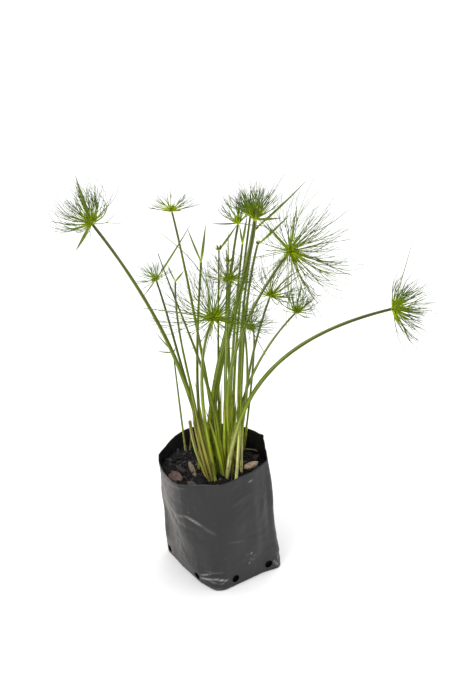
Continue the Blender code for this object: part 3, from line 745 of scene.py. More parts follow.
def add_span(tree, value, low, high, to_low=0.0, to_high=1.0):
    """A value from one span to another, held within it."""
    return add_node(
        tree, "ShaderNodeMapRange", {0: value, 1: low, 2: high, 3: to_low, 4: to_high}
    ).outputs[0]


def add_attribute(tree, name):
    """A float attribute of the piece."""
    return add_node(tree, "ShaderNodeAttribute", attribute_name=name).outputs["Fac"]


def add_noise(tree, places, scale, detail=3.0, rough=0.55):
    """A noise texture's value."""
    return add_node(
        tree, "ShaderNodeTexNoise", {"Vector": places, "Scale": scale, "Detail": detail, "Roughness": rough}
    ).outputs["Fac"]


def add_cells(tree, places, scale, feature):
    """How far places are from a cell's middle or edge."""
    return add_node(
        tree, "ShaderNodeTexVoronoi", {"Vector": places, "Scale": scale}, feature=feature
    ).outputs["Distance"]


def add_grain(tree, places, scale, turn=(0, 0, 0)):
    """Places stretched and turned, for a texture with a grain."""
    return add_node(tree, "ShaderNodeMapping", {0: places, "Scale": scale, "Rotation": turn}).outputs[0]


def object_places(tree):
    """Object coordinates."""
    return add_node(tree, "ShaderNodeTexCoord").outputs["Object"]


def add_bump(tree, shader, height, distance, strength=1.0):
    """A bump that the shader's normal reads."""
    bump = add_node(tree, "ShaderNodeBump", {"Height": height, "Distance": distance, "Strength": strength})
    tree.links.new(bump.outputs[0], shader.inputs["Normal"])


def paint(tree, shader, colour, rough=None):
    """The colour that the shader reads and, where it varies, the roughness."""
    tree.links.new(colour, shader.inputs["Base Color"])
    if rough:
        tree.links.new(rough, shader.inputs["Roughness"])


def opaque(colour):
    """A colour with its alpha."""
    return (*colour, 1.0)


def new_group(name, inputs, outputs):
    """A shader node group with named sockets, given as name and kind."""
    group = bpy.data.node_groups.new(name, "ShaderNodeTree")
    for side, sockets in (("INPUT", inputs), ("OUTPUT", outputs)):
        for label, kind in sockets:
            group.interface.new_socket(label, in_out=side, socket_type=f"NodeSocket{kind}")
    return group, group.nodes.new("NodeGroupInput"), group.nodes.new("NodeGroupOutput")


def use_group(tree, group, **inputs):
    """A node group placed in a material."""
    node = add_node(tree, "ShaderNodeGroup", node_tree=group)
    for key, value in inputs.items():
        socket = node.inputs[key.replace("_", " ").capitalize()]
        if isinstance(value, bpy.types.NodeSocket):
            tree.links.new(value, socket)
        else:
            socket.default_value = value
    return node


def mottle_group():
    """Uneven colour: a paler and a darker cloud, and fine specks."""
    if "mottled colour" in bpy.data.node_groups:
        return bpy.data.node_groups["mottled colour"]
    inputs = (("Colour", "Color"), ("Scale", "Float"), ("Depth", "Float"), ("Specks", "Float"))
    group, given, out = new_group("mottled colour", inputs, (("Colour", "Color"), ("Cloud", "Float")))
    places = object_places(group)
    cloud = add_noise(group, places, given.outputs["Scale"], 4.0)
    group.links.new(cloud, out.inputs["Cloud"])
    level = add_span(group, cloud, 0.3, 0.7, -1.0, 1.0)
    level = add_maths(group, "MULTIPLY", level, given.outputs["Depth"])
    fine_scale = add_maths(group, "MULTIPLY", given.outputs["Scale"], 9.0)
    fine = add_span(group, add_noise(group, places, fine_scale, 2.0), 0.35, 0.65, -1.0, 1.0)
    fine = add_maths(group, "MULTIPLY", fine, given.outputs["Specks"])
    level = add_maths(group, "ADD", add_maths(group, "ADD", level, fine), 1.0)
    group.links.new(add_level(group, given.outputs["Colour"], level), out.inputs["Colour"])
    return group


def add_mottle(tree, colour, scale, depth, specks):
    """A colour made uneven, as a node that also gives the cloud behind it."""
    return use_group(tree, mottle_group(), colour=colour, scale=scale, depth=depth, specks=specks)


def dust_group():
    """Dust that lies in patches, thicker where it is asked for."""
    if "dry dust" in bpy.data.node_groups:
        return bpy.data.node_groups["dry dust"]
    inputs = (("Colour", "Color"), ("Dust", "Color"), ("Amount", "Float"), ("Scale", "Float"))
    group, given, out = new_group("dry dust", inputs, (("Colour", "Color"),))
    places = object_places(group)
    patches = add_noise(group, places, given.outputs["Scale"], 6.0, 0.7)
    grit_scale = add_maths(group, "MULTIPLY", given.outputs["Scale"], 14.0)
    grit = add_span(group, add_noise(group, places, grit_scale, 2.0), 0.4, 0.75, 0.55, 1.15)
    mask = add_maths(group, "MULTIPLY", add_span(group, patches, 0.38, 0.72), grit)
    mask = add_maths(group, "MULTIPLY", mask, given.outputs["Amount"], clamp=True)
    colour = add_mix(group, mask, given.outputs["Colour"], given.outputs["Dust"])
    group.links.new(colour, out.inputs["Colour"])
    return group


# The bag


def rounded_rectangle(share):
    """A point at this share of the way round the bag's base, and its outward direction."""
    half_x, half_y = (side / 2 - BASE_CORNER for side in BASE_SIZE)
    bend = math.pi / 2 * BASE_CORNER
    corners = ((half_x, half_y), (-half_x, half_y), (-half_x, -half_y), (half_x, -half_y))
    way = share * 4 * (half_x + half_y + bend) + half_y
    for quarter in range(5):
        straight = 2 * (half_x if quarter % 2 else half_y)
        if way <= straight + bend:
            break
        way -= straight + bend
    angle = quarter * math.pi / 2 + max(0.0, way - straight) / BASE_CORNER
    out = Vector((math.cos(angle), math.sin(angle)))
    along = Vector((-out.y, out.x)) * min(0.0, way - straight)
    return Vector(corners[quarter % 4]) + out * BASE_CORNER + along, out


def stand_off(corners, angle):
    """How far the film stands outside a plain outline at this angle."""
    angles, offsets = zip(*corners)
    return float(np.interp(math.degrees(angle) % 360, angles, offsets, period=360)) * MM


def crease_lift(angles, heights):
    """How far the creases push the film out at each place, and how pale they make it."""
    lift, pale = np.zeros_like(angles), np.zeros_like(angles)
    per_degree = FILM_GIRTH / 360 / MM
    for crease in CREASES:
        (angle, low), (end_angle, high) = crease.start, crease.end
        away = ((angles - angle + 180) % 360 - 180) * per_degree
        up = heights - low
        run, climb = (end_angle - angle) * per_degree, high - low
        share = np.clip((away * run + up * climb) / (run**2 + climb**2), 0, 1)
        apart = np.hypot(away - run * share, up - climb * share)
        fade = np.sin(math.pi * (0.12 + 0.76 * share))
        lift += crease.height * MM * fade * np.exp(-((apart / crease.width) ** 2))
        # The pale line along each crease: stress-whitened film and a painted highlight on its ridge.
        pale += crease.pale * fade * np.exp(-((apart / (crease.width * 0.42)) ** 2))
    return lift, pale


@functools.cache
def film_outline(share):
    """Places on the base's and the mouth's outlines, their outward directions and the angle."""
    base, base_out = rounded_rectangle(share)
    base.rotate(Matrix.Rotation(BASE_TURN, 2))
    base_out.rotate(Matrix.Rotation(BASE_TURN, 2))
    angle = share * math.tau + BASE_TURN
    base += base_out * stand_off(BASE_CORNERS, angle)
    mouth_out = Vector((math.cos(angle), math.sin(angle)))
    mouth = mouth_out * (MOUTH_RADIUS + stand_off(MOUTH_CORNERS, angle)) + Vector(MOUTH_SHIFT)
    return base, base_out, mouth, mouth_out, angle


def film_point(share, level, inset=0.0):
    """A point of the bag's smooth outer surface and its outward direction in the plan."""
    base, base_out, mouth, mouth_out, angle = film_outline(share)
    out = base_out.lerp(mouth_out, level).normalized()
    bulge = BAG_BULGE * math.sin(math.pi * level)
    flat = base.lerp(mouth, level) + out * (bulge - inset)
    rise = MOUTH_RISE * level * math.cos(angle - MOUTH_RISE_TOWARDS)
    return Vector((flat.x, flat.y, BAG_HEIGHT * level + rise)), out


def film_slack(point, level, settings):
    """How far slack and fine crinkles push the film out here."""
    slack = 1 + 1.2 * max(0.0, level - LOOSE_LEVEL) / (1 - LOOSE_LEVEL)
    ridged = 1 - abs(noise.noise(point * CRINKLE_WAVES + Vector((3, 1, 7)))) * 2.6
    patch = 0.35 + 0.65 * noise.noise(point * PATCH_WAVES) ** 2 * 4
    sag = settings.sag * noise.noise(point * SAG_WAVES) * slack
    grain = 0.35 * noise.noise(point * GRAIN_WAVES)
    return sag + settings.crinkle * ((ridged - 0.35) * patch + grain)


def film_surface(settings, pallor):
    """The place of each point of the film's grid: the base from its middle, then the wall."""

    def place(across, along):
        levels = np.maximum(along - BASE_SHARE, 0) / (1 - BASE_SHARE)
        angles = np.degrees(across * math.tau + BASE_TURN)
        lifts, pales = crease_lift(angles, levels * BAG_HEIGHT / MM)
        pallor.extend(pales)
        places = []
        for share, way, level, lift in zip(across, along, levels, lifts):
            point, out = film_point(share % 1.0, level)
            point.xy += out * (lift + film_slack(point, level, settings)) * min(1.0, level * SET_IN)
            if way < BASE_SHARE:
                reach = (way / BASE_SHARE) ** 0.8
                point = Vector((point.x * reach, point.y * reach, BASE_PUFF * (1 - reach**6)))
            places.append(point)
        return places

    return place


def film_material(settings):
    """Matt black polythene with dust, scuffs, specks, fine crinkles and pale creases, which are
    stress-whitened film and painted highlight.
    """
    material, tree, shader = new_material("polythene_outside", 0.42, 0.33)
    places = object_places(tree)
    cloud = add_mottle(tree, opaque(settings.colour), scale=22.0, depth=0.10, specks=0.06)
    low_left = add_node(
        tree, "ShaderNodeVectorMath", {0: places, 1: (-10.0, 0.0, -1.0)}, operation="DOT_PRODUCT"
    ).outputs["Value"]
    amount = add_span(tree, low_left, 0.4, 0.72, 0.05, 1.5)
    dust = opaque(settings.dust)
    dusty = use_group(tree, dust_group(), colour=cloud.outputs[0], dust=dust, amount=amount, scale=13.0)
    scuffs = add_noise(tree, add_grain(tree, places, (40, 40, 210), (0.5, 0.3, 0.2)), 3.0, 4.0, 0.7)
    scuffs = add_span(tree, scuffs, 0.66, 0.82, 0.0, 0.30)
    size = add_span(tree, add_noise(tree, places, 30.0), 0.54, 0.8, 0.0, 0.17)
    specks = add_maths(tree, "LESS_THAN", add_cells(tree, places, 105.0, "F1"), size)
    marks = add_maths(tree, "ADD", add_maths(tree, "MULTIPLY", specks, 0.35), scuffs)
    # Pale creases: stress-whitened film and a painted highlight on their ridges.
    crease_whitening_and_highlight = add_maths(tree, "MULTIPLY", add_attribute(tree, "pale"), 0.75)
    marks = add_maths(tree, "ADD", marks, crease_whitening_and_highlight, clamp=True)
    rough = add_span(tree, cloud.outputs["Cloud"], 0.3, 0.7, 0.36, 0.52)
    rough = add_maths(tree, "ADD", rough, add_maths(tree, "MULTIPLY", marks, 0.2))
    paint(tree, shader, add_mix(tree, marks, dusty.outputs[0], opaque(settings.mark)), rough)
    folds = add_span(tree, add_cells(tree, places, 38.0, "DISTANCE_TO_EDGE"), 0.0, 0.28, 1.0, 0.0)
    folds = add_maths(tree, "MULTIPLY", folds, 0.35)
    height = add_maths(tree, "ADD", folds, add_noise(tree, places, 160.0, 4.0, 0.6))
    add_bump(tree, shader, height, 0.35 * MM, 0.6)
    return material


def shaded_lining_material(settings):
    """The film's inner face, glossier, and painted blacker than the outer face as the shade inside the bag.
    """
    material, tree, shader = new_material("polythene_inside_shaded", 0.4)
    colour = add_mottle(tree, opaque(settings.shaded_lining), scale=30.0, depth=0.25, specks=0.1).outputs[0]
    dust = (0.03, 0.026, 0.024, 1)
    dusty = use_group(tree, dust_group(), colour=colour, dust=dust, amount=0.4, scale=25.0)
    paint(tree, shader, dusty.outputs[0])
    add_bump(tree, shader, add_noise(tree, object_places(tree), 120.0, 4.0), 0.4 * MM, 0.5)
    return material


def hole_cutters(settings):
    """One object with a short rod through the film at each drainage hole."""
    bm = bmesh.new()
    for wall, along, height in HOLES:
        angle = math.radians(wall)
        out = Vector((math.cos(angle), math.sin(angle), 0))
        side = Vector((-out.y, out.x, 0))
        reach = BASE_SIZE[0 if wall in NARROW_WALLS else 1] / 2
        middle = out * reach + side * along * MM + Vector((0, 0, height * MM))
        turn = out.to_track_quat("Z", "Y").to_matrix().to_4x4()
        rod = bmesh.ops.create_cone(
            bm,
            cap_ends=True,
            segments=HOLE_SIDES,
            radius1=settings.hole,
            radius2=settings.hole,
            depth=HOLE_DEPTH,
            matrix=Matrix.Translation(middle) @ turn,
        )["verts"]
        for vert in rod:
            away = vert.co - middle
            away -= out * away.dot(out)
            vert.co += away * 0.12 * noise.noise(vert.co * 90)
    bmesh.ops.recalc_face_normals(bm, faces=bm.faces)
    cutters = bpy.data.objects.new("cutters", to_mesh(bm, "cutters"))
    bpy.context.scene.collection.objects.link(cutters)
    return cutters


class PAPYRUS_OT_bag(bpy.types.Operator):
    """Make the planter bag's film, with its creases, its holes and its open mouth"""

    bl_idname = "papyrus.make_bag"
    bl_label = "Make the bag"

    def execute(self, context):
        settings = context.scene.papyrus_bag
        pallor = []
        bm, _ = mapped_grid(*FILM_GRID, film_surface(settings, pallor))
        put_layer(bm, "pale", pallor)
        closed_skin(bm)
        mesh = to_mesh(bm, "bag_film")
        materials = (film_material(settings), shaded_lining_material(settings))
        bag = new_piece("bag_film", mesh, ("grow_bag",), materials)
        wall = bag.modifiers.new("film", "SOLIDIFY")
        wall.thickness = settings.film
        wall.offset = -1
        wall.material_offset = 1
        cutters = hole_cutters(settings)
        holes = bag.modifiers.new("holes", "BOOLEAN")
        holes.operation = "DIFFERENCE"
        holes.solver = "EXACT"
        holes.object = cutters
        applied(bag)
        bpy.data.objects.remove(cutters)
        return {"FINISHED"}


# The potting mix


def mix_surface(ring, share):
    """A point of the mix's top: a low mound with lumps, ring 1 at the film."""
    edge, _ = film_point(share % 1.0, MIX_TOP / BAG_HEIGHT, MIX_INSET)
    middle = Vector(MOUTH_SHIFT) * (MIX_TOP / BAG_HEIGHT)
    flat = middle.lerp(edge.xy, ring)
    lumps = math.sin(flat.x * LUMP_WAVES[0] + 1.3) * math.sin(flat.y * LUMP_WAVES[1] + 0.4)
    height = MIX_TOP + MIX_MOUND * (1 - ring**2) + MIX_LUMPS * lumps * (1 - ring**4)
    return Vector((flat.x, flat.y, height))


def rough_mix(ring, share):
    """The same with the crumbly roughness of the real surface."""
    point = mix_surface(ring, share)
    rough = noise.fractal(point * 190, 0.6, 2.1, 3) * 1.3 + noise.noise(point * 60) * 1.4
    point.z += rough * MM
    return point


def mix_grid_places(across, along):
    """The place of each point of the mix's grid: top, side and underside."""
    top_end, side_end = MIX_PARTS
    places = []
    for share, way in zip(across, along):
        if way < top_end:
            point = rough_mix(way / top_end, share)
        elif way < side_end:
            down = (way - top_end) / (side_end - top_end)
            inset = MIX_INSET + SIDE_INSET * min(1, down * SET_IN)
            point, _ = film_point(share % 1.0, (1 - down) * MIX_TOP / BAG_HEIGHT, inset)
            point.z = max(point.z, MIX_FLOOR)
        else:
            reach = (1 - way) / (1 - side_end)
            edge, _ = film_point(share % 1.0, 0.0, MIX_INSET + SIDE_INSET)
            point = Vector((edge.x * reach, edge.y * reach, MIX_FLOOR))
        places.append(point)
    return places


def soil_material(settings):
    """Damp peaty mix, with each crumb's own shade."""
    material, tree, shader = new_material("damp_mix", 0.8, 0.25)
    tint = add_span(tree, add_attribute(tree, "tint"), 0.45, 1.0)
    base = add_mix(tree, tint, opaque(settings.colour), opaque(settings.dry))
    cloud = add_mottle(tree, base, scale=240.0, depth=0.45, specks=0.3)
    paint(tree, shader, cloud.outputs[0], add_span(tree, cloud.outputs["Cloud"], 0.35, 0.65, 0.5, 0.95))
    add_bump(tree, shader, add_noise(tree, object_places(tree), 700.0, 5.0, 0.7), 0.6 * MM, 0.9)
    return material


def crumb_spot(roll, reach=0.96):
    """A place on the mix, as ring and share, evenly over its top."""
    return math.sqrt(roll.random()) * reach, roll.random()


def crumb_template(detail, roll):
    """An angular crumb of radius one."""
    bm = bmesh.new()
    for vert in bmesh.ops.create_icosphere(bm, subdivisions=detail, radius=1)["verts"]:
        vert.co *= roll.uniform(0.74, 1.2)
    return to_mesh(bm, "crumb")


def crumb_shape(roll):
    """A crumb's size, its stretch, how far it may lean and how dry it is."""
    stretch = (roll.uniform(0.7, 1.5), roll.uniform(0.6, 1.1), roll.uniform(0.45, 0.85))
    return min(3.4, roll.paretovariate(2.2) * 0.55), stretch, 0.5, roll.random() ** 2.2


def flake_shape(roll):
    """The same of a flake of bark."""
    stretch = (roll.uniform(0.9, 1.6), roll.uniform(0.45, 0.8), roll.uniform(0.16, 0.3))
    return roll.uniform(1.6, 4.2), stretch, 0.35, 0.2 + 0.75 * roll.random() ** 2.6


def strewn(templates, count, shape, settings, roll):
    """Crumbs or flakes that lie on the mix, each turned its own way."""
    batches = []
    for first in range(0, count, CRUMB_BATCH):
        mesh, sizes = gathered(templates, min(CRUMB_BATCH, count - first), roll)
        matrices, shades = [], []
        for _ in sizes:
            size, stretch, lean, shade = shape(roll)
            size *= settings.crumb
            place = rough_mix(*crumb_spot(roll)) + Vector((0, 0, size * 0.28))
            turn = Euler((roll.gauss(0, lean), roll.gauss(0, lean), roll.uniform(0, math.tau)))
            matrices.append(Matrix.LocRotScale(place, turn, Vector(stretch) * size))
            shades.append(shade)
        each = np.repeat(np.array(matrices), sizes, axis=0)
        local = places_of(mesh)
        put_places(mesh, np.einsum("nij,nj->ni", each[:, :3, :3], local) + each[:, :3, 3])
        add_values(mesh, tint=np.repeat(shades, sizes))
        batches.append(mesh)
    return joined(batches, "strewn")


def crumb_mesh(settings, roll):
    """Loose crumbs, flakes and fibres of many sizes."""
    crumbs = [crumb_template(1, roll) for _ in range(CRUMB_KINDS)]
    flakes = [crumb_template(2, roll) for _ in range(FLAKE_KINDS)]
    meshes = [
        strewn(crumbs, settings.crumbs, crumb_shape, settings, roll),
        strewn(flakes, settings.flakes, flake_shape, settings, roll),
    ]
    meshes += [fibre_mesh(roll) for _ in range(settings.fibres)]
    for template in crumbs + flakes:
        bpy.data.meshes.remove(template)
    return joined(meshes, "mix_crumbs")


def fibre_mesh(roll):
    """A thin bent root or fibre that lies on the mix."""
    ring, share = crumb_spot(roll, 0.9)
    start = rough_mix(ring, share)
    heading = roll.uniform(0, math.tau)
    length = roll.uniform(5, 16) * MM
    bend = roll.uniform(-1.5, 1.5)
    thick = roll.uniform(0.12, 0.28) * MM
    lift = roll.uniform(0.3, 2.0) * MM

    def place(across, along):
        angle = heading + bend * along
        spine = np.stack((
            start.x + np.cos(angle) * length * along,
            start.y + np.sin(angle) * length * along,
            start.z + 0.8 * MM + lift * np.sin(math.pi * along),
        ), 1)
        side = np.stack((-np.sin(angle), np.cos(angle), 0 * angle), 1)
        return ring_points(spine, side, np.array((0, 0, 1.0)), across, capped(along, thick))

    bm, _ = mapped_grid(4, 8, place)
    closed_skin(bm)
    return to_mesh(bm, "fibre", tint=roll.uniform(0.6, 0.95))


class PAPYRUS_OT_mix(bpy.types.Operator):
    """Make the potting mix's crumbly bed with its loose crumbs and fibres"""

    bl_idname = "papyrus.make_mix"
    bl_label = "Make the potting mix"

    def execute(self, context):
        settings = context.scene.papyrus_mix
        roll = random.Random(MIX_SEED)
        bm, _ = mapped_grid(*MIX_GRID, mix_grid_places)
        closed_skin(bm)
        bed = to_mesh(bm, "mix_bed", tint=0.2)
        mesh = joined([bed, crumb_mesh(settings, roll)], "mix_bed")
        new_piece("mix_bed", mesh, ("potting_mix",), (soil_material(settings),), smooth=False)
        return {"FINISHED"}


# Bark and twig


def bark_material(name, flake):
    """Weathered bark: long grain, pale worn ridges and dark cracks."""
    material, tree, shader = new_material(f"{name}_wood", 0.85, 0.25)
    turn = (0, 0, -math.radians(flake.turn))
    streaks = add_noise(tree, add_grain(tree, object_places(tree), (1, 6, 9), turn), 90.0, 6.0, 0.65)
    colour = add_mottle(tree, opaque(flake.shade), scale=150.0, depth=0.35, specks=0.4).outputs[0]
    dark, pale = [c * 0.25 for c in flake.shade], [min(1, c * 2.1 + 0.02) for c in flake.shade]
    colour = add_mix(tree, add_span(tree, streaks, 0.36, 0.5, 0.75, 0.0), colour, opaque(dark))
    colour = add_mix(tree, add_span(tree, streaks, 0.58, 0.72, 0.0, 0.5), colour, opaque(pale))
    paint(tree, shader, colour)
    add_bump(tree, shader, streaks, 0.9 * MM, 0.9)
    return material


def bark_mesh(name, flake, roll):
    """A flake with broken edges and layered faces, where its solid lies."""
    low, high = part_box(name)
    middle = (low + high) / 2
    bm = bmesh.new()
    bmesh.ops.create_icosphere(bm, subdivisions=5, radius=1)
    seed = Vector((roll.uniform(0, 40), roll.uniform(0, 40), roll.uniform(0, 40)))
    for vert in bm.verts:
        out = vert.co.copy()
        square = max(abs(out.x), abs(out.y)) ** 0.35
        length = 1.0 + 0.16 * noise.noise(out * 1.6 + seed) + 0.05 * noise.noise(out * 7 + seed)
        flat = math.copysign(min(0.75, abs(out.z) ** 0.6), out.z)
        ledge = 0.16 * round(2.5 * noise.noise(Vector((out.x * 1.1, out.y * 3, 0)) + seed))
        ridges = 0.10 * noise.noise(Vector((out.x * 2.5, out.y * 9, out.z)) + seed)
        vert.co = Vector((
            out.x * length * (1.08 - 0.08 * square) * flake.half_sizes[0],
            out.y * length * flake.half_sizes[1],
            (flat + (ledge + ridges) * (out.z > -0.2)) * flake.half_sizes[2],
        )) * MM
    bmesh.ops.smooth_vert(bm, verts=bm.verts, factor=0.4, use_axis_x=True, use_axis_y=True, use_axis_z=True)
    turn, lean = math.radians(flake.turn), math.radians(flake.lean)
    tilt = Matrix.Rotation(turn, 4, "Z") @ Matrix.Rotation(lean, 4, "X")
    bmesh.ops.transform(bm, matrix=Matrix.Translation(middle) @ tilt, verts=bm.verts)
    return to_mesh(bm, name)


def twig_mesh():
    """The dry twig: a thin bent stalk with a snapped side shoot."""
    start, bow, end = (np.array(place, float) * MM for place in TWIG)
    bow = bow * 2 - (start + end) / 2

    def stalk(first, middle, last, thick):
        def place(across, along):
            spine, slope = bent_line(first, middle, last, along[:, None])
            side, up = side_axes(unit(slope), np.array((0, 0, 1.0)))
            girth = thick * capped(along, 1 - 0.35 * along) * (1 + 0.25 * np.sin(along * 21) ** 6)
            return ring_points(spine, side, up, across, girth)

        bm, _ = mapped_grid(8, 24, place)
        closed_skin(bm)
        return to_mesh(bm, "stalk")

    shoot = end + np.array(SHOOT_END) * MM
    fork = start * 0.35 + end * 0.65 + np.array((0, 0, 0.4)) * MM
    side_shoot = stalk(fork, (fork + shoot) / 2, shoot, 0.4 * MM)
    return joined([stalk(start, bow, end, 0.8 * MM), side_shoot], "dry_twig")


def twig_material():
    """Bleached dry stalk."""
    material, tree, shader = new_material("dry_stalk", 0.8, 0.25)
    cloud = add_mottle(tree, (0.27, 0.26, 0.13, 1), scale=150.0, depth=0.3, specks=0.25)
    paint(tree, shader, cloud.outputs[0])
    add_bump(tree, shader, cloud.outputs["Cloud"], 0.2 * MM)
    return material


class PAPYRUS_OT_bark(bpy.types.Operator):
    """Make each flake of bark and the dry twig where its solid lies"""

    bl_idname = "papyrus.make_bark"
    bl_label = "Make the bark"

    def execute(self, context):
        for name, flake in FLAKES.items():
            mesh = bark_mesh(name, flake, random.Random(name))
            new_piece(f"{name}_flake", mesh, (name,), (bark_material(name, flake),))
        new_piece("dry_twig", twig_mesh(), ("pale_twig",), (twig_material(),))
        return {"FINISHED"}


# Culms


def tissue_group(settings):
    """Green tissue from foot to top, with its brown or bleached feet and its dry sheaths."""
    inputs = [(label, "Float") for label in ("Along", "Pale", "Brown", "Dry", "Streak")]
    group, given, out = new_group("culm tissue", inputs, (("Colour", "Color"),))
    streak = add_maths(group, "MULTIPLY", given.outputs["Streak"], 0.06)
    along = add_maths(group, "ADD", given.outputs["Along"], streak)
    lower, middle = opaque(settings.lower), opaque(settings.middle)
    colour = add_mix(group, add_span(group, along, 0.1, 0.45), lower, middle)
    colour = add_mix(group, add_span(group, along, 0.45, 0.95), colour, opaque(settings.top))
    feet = (("Pale", 0.24, 0.15, 1.0, settings.foot), ("Brown", 0.55, 0.2, 0.85, settings.sheath))
    for label, reach, full, most, shade in feet:
        amount = given.outputs[label]
        end = add_maths(group, "ADD", add_maths(group, "MULTIPLY", amount, reach), 0.02)
        fading = add_span(group, add_maths(group, "DIVIDE", along, end), full, 1.0, most, 0.0)
        colour = add_mix(group, add_maths(group, "MULTIPLY", fading, amount), colour, opaque(shade))
    colour = add_mix(group, given.outputs["Dry"], colour, opaque(settings.sheath))
    group.links.new(colour, out.inputs["Colour"])
    return group


def culm_material(settings):
    """A culm's skin: fine ribs along it, streaks, a painted highlight on the rib ridges, painted shade
    between the culms and a soft sheen.
    """
    material, tree, shader = new_material("culm_skin", 0.5, 0.06)
    grid = add_node(tree, "ShaderNodeTexCoord").outputs["UV"]
    ribs = add_noise(tree, add_grain(tree, grid, (8, 1.1, 1)), 1.0, 3.0, 0.5)
    tissue = use_group(
        tree,
        tissue_group(settings),
        along=add_attribute(tree, "along"),
        pale=add_attribute(tree, "paleness"),
        brown=add_attribute(tree, "brownness"),
        dry=add_attribute(tree, "dry"),
        streak=add_span(tree, ribs, 0.3, 0.7, -1.0, 1.0),
    )
    cloud = add_mottle(tree, tissue.outputs[0], scale=55.0, depth=0.14, specks=0.06)
    # The ribs' lighter and darker streaks: real ribbing, with its contrast raised as painted light and
    # shade.
    colour = add_level(tree, cloud.outputs[0], add_span(tree, ribs, 0.41, 0.58, 0.5, 1.42))
    # Painted highlight: a pale colour along the rib ridges.
    ridge_highlight = add_span(tree, ribs, 0.52, 0.62, 0.0, 0.32)
    colour = add_mix(tree, ridge_highlight, colour, opaque(settings.ridge_highlight))
    # Painted shade: the shade attribute, which holds each piece's random tone, its painted shade at leaf
    # edges and the painted shade from its neighbours, darkens the colour towards the gap colour.
    light = add_mix(tree, add_attribute(tree, "shade"), opaque(settings.gap), (1.0, 1.0, 1.0, 1.0))
    colour = add_mix(tree, 1.0, colour, light, "MULTIPLY")
    paint(tree, shader, colour, add_span(tree, cloud.outputs["Cloud"], 0.3, 0.7, 0.36, 0.5))
    add_bump(tree, shader, ribs, 0.25 * MM, 0.6)
    return material


def culm_spine(culm, gap, share):
    """Places and headings along a culm at the given shares."""
    share = np.asarray(share, float)[:, None]
    start = np.array((*culm.foot, FOOT_LEVEL)) * MM
    bow, end = np.array(culm.bow) * MM, np.array(culm.tip) * MM
    spine, slope = bent_line(start, bow, end + unit(bow - end) * gap, share)
    aside = np.array((culm.sway * SWAY_SCALE * MM, 0, 0))
    spine += aside * share * (1 - share) ** 2
    slope += aside * ((1 - share) ** 2 - 2 * share * (1 - share))
    return spine, unit(slope)


def culm_radius(culm, share):
    """A culm's radius in millimetres. It is drawn in where it leaves the mix."""
    radius = culm.foot_radius + (culm.tip_radius - culm.foot_radius) * np.clip(share, 0, 1)
    above = np.clip(share * culm_length(culm) / FOOT_REACH, 0, 1)
    return radius * (1 - FOOT_TAPER * (1 - above) ** 2)


def culm_length(culm):
    """The straight distance from a culm's foot to its tip, in millimetres."""
    return (Vector(culm.tip) - Vector((*culm.foot, FOOT_LEVEL))).length


def sunk_share(culm):
    """How far a culm's grids start below its foot, as a share of its length."""
    return FOOT_SINK / culm_length(culm)


def culm_tube(culm, gap, roll):
    """A culm's own stem: rounded, turning three-cornered and thinner towards the top."""
    phase, wave = roll.uniform(0, math.tau), roll.uniform(0, math.tau)
    sunk = sunk_share(culm)
    rows = CULM_GRID[1]

    def place(across, along):
        share = np.clip((along * rows - 1) / (rows - 2), 0, 1) * (1 + sunk) - sunk
        spine, heading = culm_spine(culm, gap, share)
        side, up = side_axes(heading, CULM_GUIDE)
        knots = 1 + 0.025 * np.sin(share * 31 + wave) + 0.02 * np.sin(share * 77 + wave)
        corner = (0.03 + 0.07 * np.clip(share, 0, 1)) * np.cos(3 * across * math.tau + phase)
        radius = culm_radius(culm, share) * knots * (1 + corner) * MM
        return ring_points(spine, side, up, across, capped(along, radius))

    bm, shares = mapped_grid(*CULM_GRID, place)
    put_layer(bm, "along", shares[:, 1])
    closed_skin(bm)
    shade = roll.uniform(*SHADE_ROLL)
    return to_mesh(bm, "stem", paleness=culm.pale, brownness=culm.brown, dry=culm.dry, shade=shade)


def sheath_mesh(grid, place, reach, dryness):
    """A sheath as a thin sheet, with the values that its colour reads."""
    bm, shares = mapped_grid(*grid, place)
    put_layer(bm, "along", shares[:, 1] * reach)
    put_layer(bm, "dry", [dryness(along) for along in shares[:, 1]])
    put_layer(bm, "edge", abs(shares[:, 0] * 2 - 1))
    bmesh.ops.remove_doubles(bm, verts=bm.verts, dist=WELD)
    bmesh.ops.recalc_face_normals(bm, faces=bm.faces)
    bmesh.ops.solidify(bm, geom=bm.faces[:], thickness=SHEATH_SHEET)
    return bm


def wrapped_sheath(culm, gap, length, loose, roll):
    """A sheath that wraps a culm's lower part, its mouth cut aslant."""
    facing = roll.uniform(-2.2, 0.6)
    reach = length / culm_length(culm)
    sunk = sunk_share(culm)

    def place(across, along):
        mouth = 0.72 + 0.28 * np.cos(across * math.tau - facing) ** 3
        share = along * (mouth * reach + sunk) - sunk
        spine, heading = culm_spine(culm, gap, share)
        side, up = side_axes(heading, CULM_GUIDE)
        radius = culm_radius(culm, share) * 1.03 + 0.08 + loose * np.sin(0.5 * math.pi * along) ** 1.5
        return ring_points(spine, side, up, across, radius * MM)

    bm = sheath_mesh(SHEATH_GRID, place, reach, lambda along: max(culm.dry, 0.35 * along**12))
    mesh = to_mesh(bm, "sheath", paleness=culm.pale, brownness=culm.brown, shade=roll.uniform(*SHADE_ROLL))
    take_values(mesh, "edge")
    return mesh


